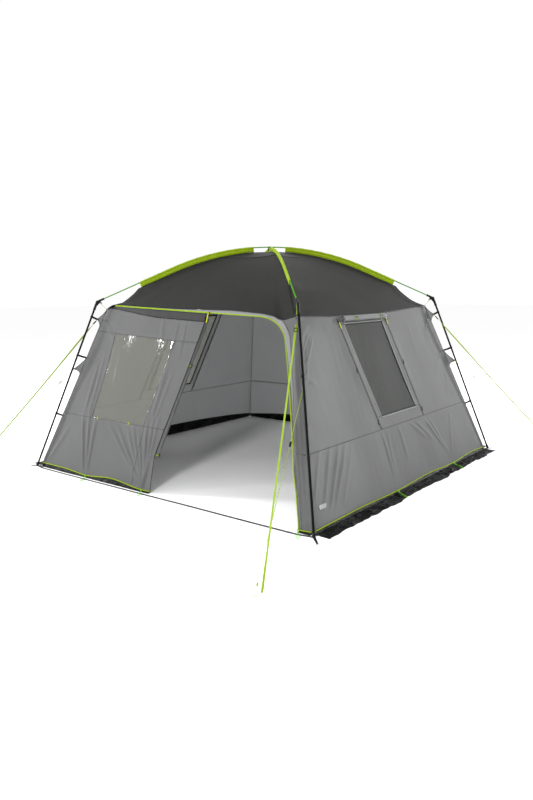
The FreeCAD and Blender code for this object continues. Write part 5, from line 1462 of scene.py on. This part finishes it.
def make_pull(node, length):
    """Folded ribbon pull through the slider's eye, lying against the cloth."""
    low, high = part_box(node)
    joint = [j for j in frame["joints"] if j["child"] == node][0]
    pivot, axis = np.array(joint["pos_m"]), unit(joint["axis"])
    centre = (np.array(low) + np.array(high)) / 2
    hang = centre - pivot
    hang = unit(hang - axis * np.dot(hang, axis))
    normal = unit(np.cross(axis, hang))
    outward = normal if np.dot(normal, pivot * [1, 1, 0]) > 0 else -normal
    reach = np.linspace(0, length, 30)
    curl = 0.0012 * np.sin(reach / length * np.pi) - 0.0004
    front = pivot + hang * (reach + 0.001)[:, None] + outward * (0.0016 + curl)[:, None]
    back = pivot + hang * (reach + 0.001)[:, None] + outward * (-0.0012 + curl)[:, None]
    turn = np.linspace(0, np.pi, 9)[1:-1]
    eye = (pivot + hang * (0.001 - np.sin(turn) * 0.0026)[:, None]
           + outward * (0.0002 + np.cos(turn) * 0.0016)[:, None])
    path = np.concatenate([front[::-1], eye, back])
    across = np.broadcast_to(axis, path.shape)
    inward = unit(np.cross(unit(np.gradient(path, axis=0)), across))
    narrow = np.interp(np.arange(len(path)), [0, 20, 29, 37, 46, len(path) - 1], [1, 1, 0.75, 0.75, 1, 1])
    part = swept_part(path, flat_section(0.0085, 0.0009), inward, narrow)
    ribbon = joined(node + "_ribbon", [part], RIBBON)
    keep(ribbon, "pull_ribbon", node, body=node)
    end = pivot + hang * (length - 0.004) + outward * 0.0002
    tip = bar_part(end - hang * 0.007, end + hang * 0.006, 0.0105, 0.0052, outward)
    keep(joined(node + "_tip", [tip], RIBBON), "pull_ribbon", body=node)


# ---- hems, ground flaps and straps ---------------------------------------------------------
def hem_runs(side):
    edge = wall_half(0.03) - 0.004
    if side == "door":
        return [(-edge, LEAF_FOOT_S), (float(jamb_s(0.03)) + 0.004, edge)]
    return [(-edge, edge)]


def make_hems():
    for side in SIDE_ANGLE:
        parts = []
        for start, end in hem_runs(side):
            s = along_line([(start, 0), (end, 0)], 0.014)[:, 0]
            path = on_wall(side, s, HEM_AT[side](s), 0.0028)
            parts.append(swept_part(path, round_section(0.0042, 10), side_normal(side)))
        keep(joined("hem_piping_" + side, parts, LIME_PIPING), "lime_cloth", "hem_piping")


def make_ground_flap(side, start, end, reach, name):
    """Crinkled sheet from the hem down to the ground and out along it."""
    s = np.linspace(start, end, int((end - start) / 0.012))[None, :]
    hem_z = HEM_AT[side](s)
    drop = np.linspace(0, 1, 7)[:, None]
    steps = np.linspace(0, 1, max(5, int(reach / 0.010)))[1:, None]
    seed = WALL_SEED[side] + 5
    edge = 0.016 * ripples(s, s * 0, seed, 0.40) + 0.006 * ripples(s, s * 0, seed + 1, 0.13)
    far = reach * 0.93 + edge * min(1.0, reach / 0.10)
    z_down = (hem_z + 0.010) * (1 - drop) + 0.0016 * drop
    x_down = wall_half(hem_z) * (1 - drop) + (wall_half(0.0) + 0.001) * drop
    crumple = 0.004 * ripples(s, drop * 0.1, seed + 2, 0.07)
    x_down = x_down - np.abs(crumple) * np.sin(np.pi * drop) - 0.0060 * (1 - drop) - 0.0015
    x_out = wall_half(0.0) + far * steps
    ridges = np.maximum(0, ripples(s, steps * reach, seed + 3, 0.105)) ** 1.4 * 0.012
    ridges = ridges + np.maximum(0, ripples(s * 1.3, steps * reach * 1.3, seed + 4, 0.05)) * 0.004
    lift = min(1.0, reach / 0.08)
    z_out = 0.0016 + ridges * lift * (0.35 + 0.65 * np.sin(np.pi * np.clip(steps, 0, 1)))
    x = np.concatenate([x_down, np.broadcast_to(x_out, (len(steps), s.shape[1]))])
    z = np.concatenate([z_down, z_out])
    slide = 0.006 * ripples(s, z * 3 + x, seed + 6, 0.09)
    grid = np.stack([x, np.broadcast_to(s, x.shape) + slide * (x > wall_half(0.0)), z], -1)
    grid = spin(grid, SIDE_ANGLE[side])
    uv = np.stack(np.broadcast_arrays(s, np.linspace(0, reach + 0.05, len(x))[:, None]), -1)
    part = sheet_part(grid.transpose(1, 0, 2)[::-1], uv.transpose(1, 0, 2)[::-1], 0.0010)
    flap = joined(name, [part], GROUND_SHEET)
    keep(flap, "flap_sheet", "mud_flaps")


def make_ground_flaps():
    for side in SIDE_ANGLE:
        for index, (start, end) in enumerate(hem_runs(side)):
            reach = 0.022 if side == "door" else 0.150
            make_ground_flap(side, start, end, reach, "ground_flap_%s_%d" % (side, index + 1))


def make_base_strap():
    reach = FOOT - 0.006
    x = np.linspace(-reach, reach, 160)
    y = -(FOOT + 0.022 * (1 - ease(np.abs(x), reach - 0.16, reach))) + 0.004 * ripples(x, x * 0, 9, 1.7)
    z = 0.0013 + 0.0010 * np.maximum(0, ripples(x, x * 0, 10, 0.5))
    part = swept_part(np.stack([x, y, z], 1), flat_section(0.025, 0.0016), UP)
    strap = joined("base_strap_web", [part], GREY_WEBBING)
    keep(strap, "grey_webbing", "base_strap")


PEG_LOOPS = {"door": [-0.975, -0.165, 1.575], "window": [-0.370, 0.860], "back": [-0.6, 0.6],
             "left": [-0.6, 0.6]}


def make_peg_loops():
    """Elastic peg loops: a sewn tail at the hem, then a narrow loop lying on the ground."""
    for side, places in PEG_LOOPS.items():
        parts = []
        for s in places:
            hem_z = float(HEM_AT[side](s))
            base = wall_half(hem_z)
            reach = 0.130 if side == "door" else 0.145
            skew = {"door": 0.09, "window": -0.10}.get(side, 0.0)
            outer = wall_half(0) + reach
            for sign in (-1, 1):
                flat = [(base, s, hem_z + 0.004), (base + 0.012, s + sign * 0.004, hem_z * 0.7 + 0.007),
                        (wall_half(0) + 0.03, s + skew * 0.3 + sign * 0.007, 0.0105),
                        (outer - 0.03, s + skew * 0.8 + sign * 0.011, 0.0070),
                        (outer - 0.010, s + skew * 0.93 + sign * 0.009, 0.0050), (outer, s + skew, 0.0045)]
                path = rounded(along_line(flat, 0.004), 3)
                parts.append(swept_part(path, round_section(0.0021, 8), UP))
        parts = turned_parts(parts, SIDE_ANGLE[side])
        keep(joined("peg_loops_" + side, parts, LOOP_CORD), "lime_cord", "peg_loops")


# ---- corners -----------------------------------------------------------------------------
def leg_at(z):
    return ELBOW + (FOOT_POINT - ELBOW) * (ELBOW[2] - z) / ELBOW[2]


# Leg straps: height on the leg, then height and reach of their end on the wall's corner.
STRAPS = [(1.538, 1.512, 1.782), (1.150, 1.122, 1.914), (0.552, 0.528, 2.183)]


def make_leg_straps(corner):
    """Webbing loops round the leg, each with a short tail sewn to the wall's corner."""
    parts = []
    for leg_z, wall_z, wall_r in STRAPS:
        centre = leg_at(leg_z)
        wall = np.array([wall_r - 0.004, 0.0, wall_z])
        inward = unit(wall - centre)
        inward = unit(inward - LEG_DOWN * np.dot(inward, LEG_DOWN))
        side = np.cross(LEG_DOWN, inward)
        turn = np.linspace(0.32, math.tau - 0.32, 40)
        radius = 0.0112
        ring = centre + radius * (np.cos(turn)[:, None] * inward + np.sin(turn)[:, None] * side)
        halfway = wall * 0.5 + (centre + inward * 0.02) * 0.5 - np.array([0, 0, 0.0015])
        lead = along_line([wall + side * 0.0006, halfway + side * 0.0010, ring[0]], 0.004)
        back = along_line([ring[-1], halfway - side * 0.0010, wall - side * 0.0006], 0.004)
        path = np.concatenate([lead[:-1], ring, back[1:]])
        outward = np.cross(unit(np.gradient(path, axis=0)), LEG_DOWN)
        parts.append(swept_part(path, flat_section(0.020, 0.0013), outward))
    corner_piece("leg_strap_web", corner, parts, BLACK_WEBBING, "black_webbing", "leg_straps")


def make_corner_tabs(corner):
    """Cloth triangles on the corner seam that the guys pull on, and the seam's binding."""
    tabs, binding, loops = [], [], []
    for tab in TABS:
        a, b = (np.array([wall_half(z) * ROOT2 + 0.001, 0.0, z]) for z in tab[:2])
        tip = tab_tip(corner, tab)
        u = np.linspace(0, 1, 16)[:, None, None]
        v = np.linspace(0, 0.97, 14)[None, :, None]
        grid = (a * (1 - u) + b * u) * (1 - v) + tip * v
        # both free edges curve inward a little, as cloth under tension does
        middle = (a + b) / 2 * (1 - v) + tip * v
        grid = middle + (grid - middle) * (1 - 0.22 * np.sin(np.pi * v))
        u, v = u[..., 0], v[..., 0]
        grid[..., 1] += 0.004 * np.sin(np.pi * u) * np.sin(np.pi * v)
        uv = np.stack(np.broadcast_arrays(u * 0.17, v * 0.2), -1)
        tabs.append(sheet_part(grid, uv, 0.0012))
        for row in (grid[0], grid[-1]):
            binding.append(swept_part(row, flat_section(0.006, 0.0026), Y_AXIS))
        inner = grid[7, -4]
        loop = along_line([inner, tip + (tip - inner) * 0.10], 0.005)
        binding.append(swept_part(loop, flat_section(0.016, 0.0030), Y_AXIS))
    corner_piece("guy_tab_cloth", corner, tabs, WALL_CLOTH, "wall_cloth", "corner_guy_tabs")
    z = np.linspace(0.02, CORNER_Z[corner] - 0.004, 120)
    seam = np.stack([wall_half(z) * ROOT2 + 0.0015, 0 * z, z], -1)
    binding.append(swept_part(seam, round_section(0.0028, 8), X_AXIS))
    corner_piece("corner_binding", corner, binding, SEAM_TAPE, "wall_cloth")
    # dark edging that runs from the roof's corner down to the upper tab
    top = np.array([CANOPY_REACH + 0.002, 0.0, CORNER_Z[corner] + 0.002])
    low = [wall_half(1.57) * ROOT2 + 0.006, 0.0, 1.570]
    edging = swept_part(along_line([top, top + [0.004, 0, -0.022], low], 0.004),
                        flat_section(0.014, 0.0030), X_AXIS)
    corner_piece("corner_edging", corner, [edging], EDGE_TAPE, "roof_cloth")
    # short lime loops at the tips that hold the band and the guy
    targets = (band_ends(corner)[1], guy_route(corner)[1])
    for tab, target, width, reach in zip(TABS, targets, (0.018, 0.010), (0.024, 0.004)):
        tip = spin(tab_tip(corner, tab), CORNER_ANGLE[corner])
        along = unit(target - tip)
        outward = np.cross(unit(np.cross(along, UP)), along)
        path = along_line([tip - along * 0.020, tip + along * reach], 0.004)
        loops.append(swept_part(path, flat_section(width, 0.0030), outward))
    keep(joined("tab_loops_" + corner, loops, LIME_WEBBING), "lime_webbing")


def make_corner_cord(corner):
    """Elastic cord, doubled, from the elbow's hole to the roof's corner."""
    hole = ELBOW_HOLE
    end = np.array([CANOPY_REACH - 0.001, 0.0, CORNER_Z[corner] + 0.006])
    parts = []
    for sign in (-1, 1):
        middle = (hole + end) / 2 + np.array([0, sign * 0.0018, -0.002])
        over, under = hole + [0, sign * 0.0062, 0.004], hole + [0, sign * 0.0064, -0.006]
        path = rounded(along_line([over, under, middle, end], 0.004), 4)
        parts.append(swept_part(path, round_section(0.0014, 8), Y_AXIS))
    across = along_line([hole + [0, -0.0075, 0.003], hole + [0, 0.0075, 0.003]], 0.002)
    parts.append(swept_part(across, round_section(0.0018, 8), UP))
    corner_piece("corner_elastic", corner, parts, LIME_CORD, "elastic_cord", "canopy_corner_cords")


def make_foot_webbing(corner):
    """Narrow webbing tab under the foot, its two straps up to the cap, and its pegging ring."""
    ring_radius = 0.0145
    foot = FOOT_POINT[0]
    centre = foot + 0.168 - 0.017
    x = np.linspace(foot - 0.045, centre - ring_radius + 0.002, 26)
    half = np.interp(x, [x[0], x[6], x[-4], x[-1]], [0.010, 0.011, 0.008, 0.008])[:, None]
    x = x[:, None]
    u = np.linspace(-1, 1, 11)
    z = 0.0016 + 0.0018 * np.abs(np.sin(x * 90)) * (1 - u ** 2)
    grid = np.stack([np.broadcast_to(x, z.shape), half * u, z], -1)
    parts = [sheet_part(grid[::-1, ::-1], grid[::-1, ::-1, :2], 0.0018)]
    upright = along_line([(foot - 0.040, 0, 0.030), (foot + 0.002, 0, 0.022), (foot + 0.030, 0, 0.006),
                          (foot + 0.060, 0, 0.0035)], 0.005)
    for sign in (-1, 1):
        parts.append(swept_part(upright + [0, sign * 0.0045, 0], flat_section(0.007, 0.0018), UP))
    corner_piece("foot_webbing", corner, parts, BLACK_WEBBING, "black_webbing", "foot_rings")
    path, turn = ring_path(np.array([centre, 0.0, 0.0023]), ring_radius, X_AXIS, Y_AXIS)
    bead = 1 + 0.12 * np.exp(-((turn - 2.6) / 0.10) ** 2)
    ring = swept_part(path, round_section(0.0021), UP, bead)
    corner_piece("foot_ring", corner, [ring], BARE_STEEL, "bare_steel", "foot_rings")


def cylinder_part(start, end, radius):
    return swept_part(along_line([start, end], 0.004), round_section(radius, 40), Y_AXIS)


def make_elbow_mesh():
    """Moulded elbow: two sockets with lips, a web between them with a tie hole, and ribs."""
    pole_end, leg_end = ELBOW + POLE_IN * 0.077, ELBOW + LEG_DOWN * 0.087
    parts = [cylinder_part(ELBOW, pole_end, 0.0103), cylinder_part(ELBOW, leg_end, 0.0128),
             cylinder_part(pole_end - POLE_IN * 0.010, pole_end, 0.0120),
             cylinder_part(leg_end - LEG_DOWN * 0.011, leg_end, 0.0143),
             cylinder_part(ELBOW + POLE_IN * 0.030, ELBOW + POLE_IN * 0.034, 0.0116),
             cylinder_part(ELBOW + LEG_DOWN * 0.034, ELBOW + LEG_DOWN * 0.039, 0.0140)]
    # a ball where the two sockets meet
    lat = np.linspace(-math.pi / 2, math.pi / 2, 18)
    path = ELBOW + UP * (0.0131 * np.sin(lat))[:, None]
    parts.append(swept_part(path, round_section(1.0, 40), X_AXIS, np.maximum(0.0131 * np.cos(lat), 0.0004)))
    corners = (ELBOW, ELBOW + POLE_IN * 0.068, ELBOW + LEG_DOWN * 0.078)
    web = [p + np.array([0, y, 0]) for y in (-0.0044, 0.0044) for p in corners]
    faces = [(0, 1, 2), (5, 4, 3), (0, 3, 4, 1), (1, 4, 5, 2), (2, 5, 3, 0)]
    parts.append((np.array(web), faces, np.zeros((6, 2))))
    hole = ELBOW_HOLE
    boss, _ = ring_path(hole, 0.0085, X_AXIS, UP, 33)
    parts.append(swept_part(boss, flat_section(0.004, 0.0120), Y_AXIS))
    block = joined("elbow_block", parts, BLACK_PLASTIC)
    remesh = block.modifiers.new("remesh", "REMESH")
    remesh.mode = "VOXEL"
    remesh.voxel_size = 0.0011
    soften = block.modifiers.new("soften", "SMOOTH")
    soften.iterations = 4
    soften.factor = 0.5
    cutter = joined("elbow_cutter", [cylinder_part(hole - [0, 0.02, 0], hole + [0, 0.02, 0], 0.0058)],
                    BLACK_PLASTIC)
    cut = block.modifiers.new("hole", "BOOLEAN")
    cut.object = cutter
    cut.solver = "FAST"
    graph = bpy.context.evaluated_depsgraph_get()
    mesh = bpy.data.meshes.new_from_object(block.evaluated_get(graph))
    mesh.polygons.foreach_set("use_smooth", [True] * len(mesh.polygons))
    for leftover in (block, cutter):
        bpy.data.objects.remove(leftover)
    return mesh


def make_elbows():
    shared = make_elbow_mesh()
    for corner, angle in CORNER_ANGLE.items():
        mesh = shared.copy()
        mesh.name = "elbow_moulding_" + corner
        mesh.transform(Matrix.Rotation(math.radians(angle), 4, "Z"))
        piece = bpy.data.objects.new("elbow_moulding_" + corner, mesh)
        bpy.context.scene.collection.objects.link(piece)
        keep(piece, "black_plastic", "elbow_" + corner)


def make_apex_tie():
    """Webbing that hangs the roof from the crossing, in a loop over both poles."""
    top, low = APEX_Z + 0.0065, APEX_Z - CANOPY_DROP + 0.002
    turn = np.linspace(math.pi, 0, 15)
    over = np.stack([0.012 * np.cos(turn), 0 * turn, top - 0.010 + 0.010 * np.sin(turn)], -1)
    path = np.concatenate([along_line([(-0.026, 0, low), (-0.013, 0, top - 0.014)], 0.004), over,
                           along_line([(0.013, 0, top - 0.014), (0.026, 0, low)], 0.004)])
    outward = np.cross(unit(np.gradient(path, axis=0)), Y_AXIS)
    parts = turned_parts([swept_part(path, flat_section(0.013, 0.0016), outward)], 90)
    keep(joined("apex_webbing", parts, BLACK_WEBBING), "black_webbing", "apex_tie")


# ---- CAD parts that stay -------------------------------------------------------------------
def finish_cad_parts():
    """Better materials and softened edges for the CAD parts whose shape is right."""
    finishes = {"roof_pole_left_right": FIBREGLASS, "roof_pole_front_back": FIBREGLASS,
                "pole_ferrules": BARE_STEEL, "pole_shock_cords": LOOP_CORD, "foot_caps": BLACK_PLASTIC}
    for corner in CORNER_ANGLE:
        finishes["leg_" + corner] = BLACK_STEEL
        finishes["guy_runner_" + corner] = BLACK_PLASTIC
    for node in frame["nodes"]:
        if node.endswith("_slider"):
            finishes[node] = SLIDER_METAL
    for node, finish in finishes.items():
        piece = frame["nodes"][node]
        piece.data.materials.clear()
        piece.data.materials.append(finish)
        if node.endswith("_slider") or node.startswith("guy_runner"):
            bevel = piece.modifiers.new("soft edges", "BEVEL")
            bevel.width = 0.0006
            bevel.segments = 2
            bevel.angle_limit = math.radians(40)


# ---- scene -------------------------------------------------------------------------------
place_camera()
light_scene()
make_floor()
for corner_name in CORNER_ANGLE:
    make_guy_line(corner_name)
    make_storm_band(corner_name)
make_canopy()
make_sleeves()
make_window_wall("window", "window_wall_cloth", "window_wall")
make_window_wall("left", "left_wall_cloth", "left_wall")
make_back_wall()
make_blank_label()
make_door_surround()
make_door_leaf()
make_rain_flap()
make_door_roll()
make_window_roll("window", "window_roll_right")
make_window_roll("left", "window_roll_left")
make_door_zip()
make_window_zips()
make_pull("door_zip_pull", 0.090)
for window in ("right_window", "left_window"):
    for letter in ("a", "b"):
        make_pull("%s_%s_pull" % (window, letter), 0.060)
make_hems()
make_ground_flaps()
make_base_strap()
make_peg_loops()
for corner_name in CORNER_ANGLE:
    make_leg_straps(corner_name)
    make_corner_tabs(corner_name)
    make_corner_cord(corner_name)
    make_foot_webbing(corner_name)
make_elbows()
make_apex_tie()
finish_cad_parts()
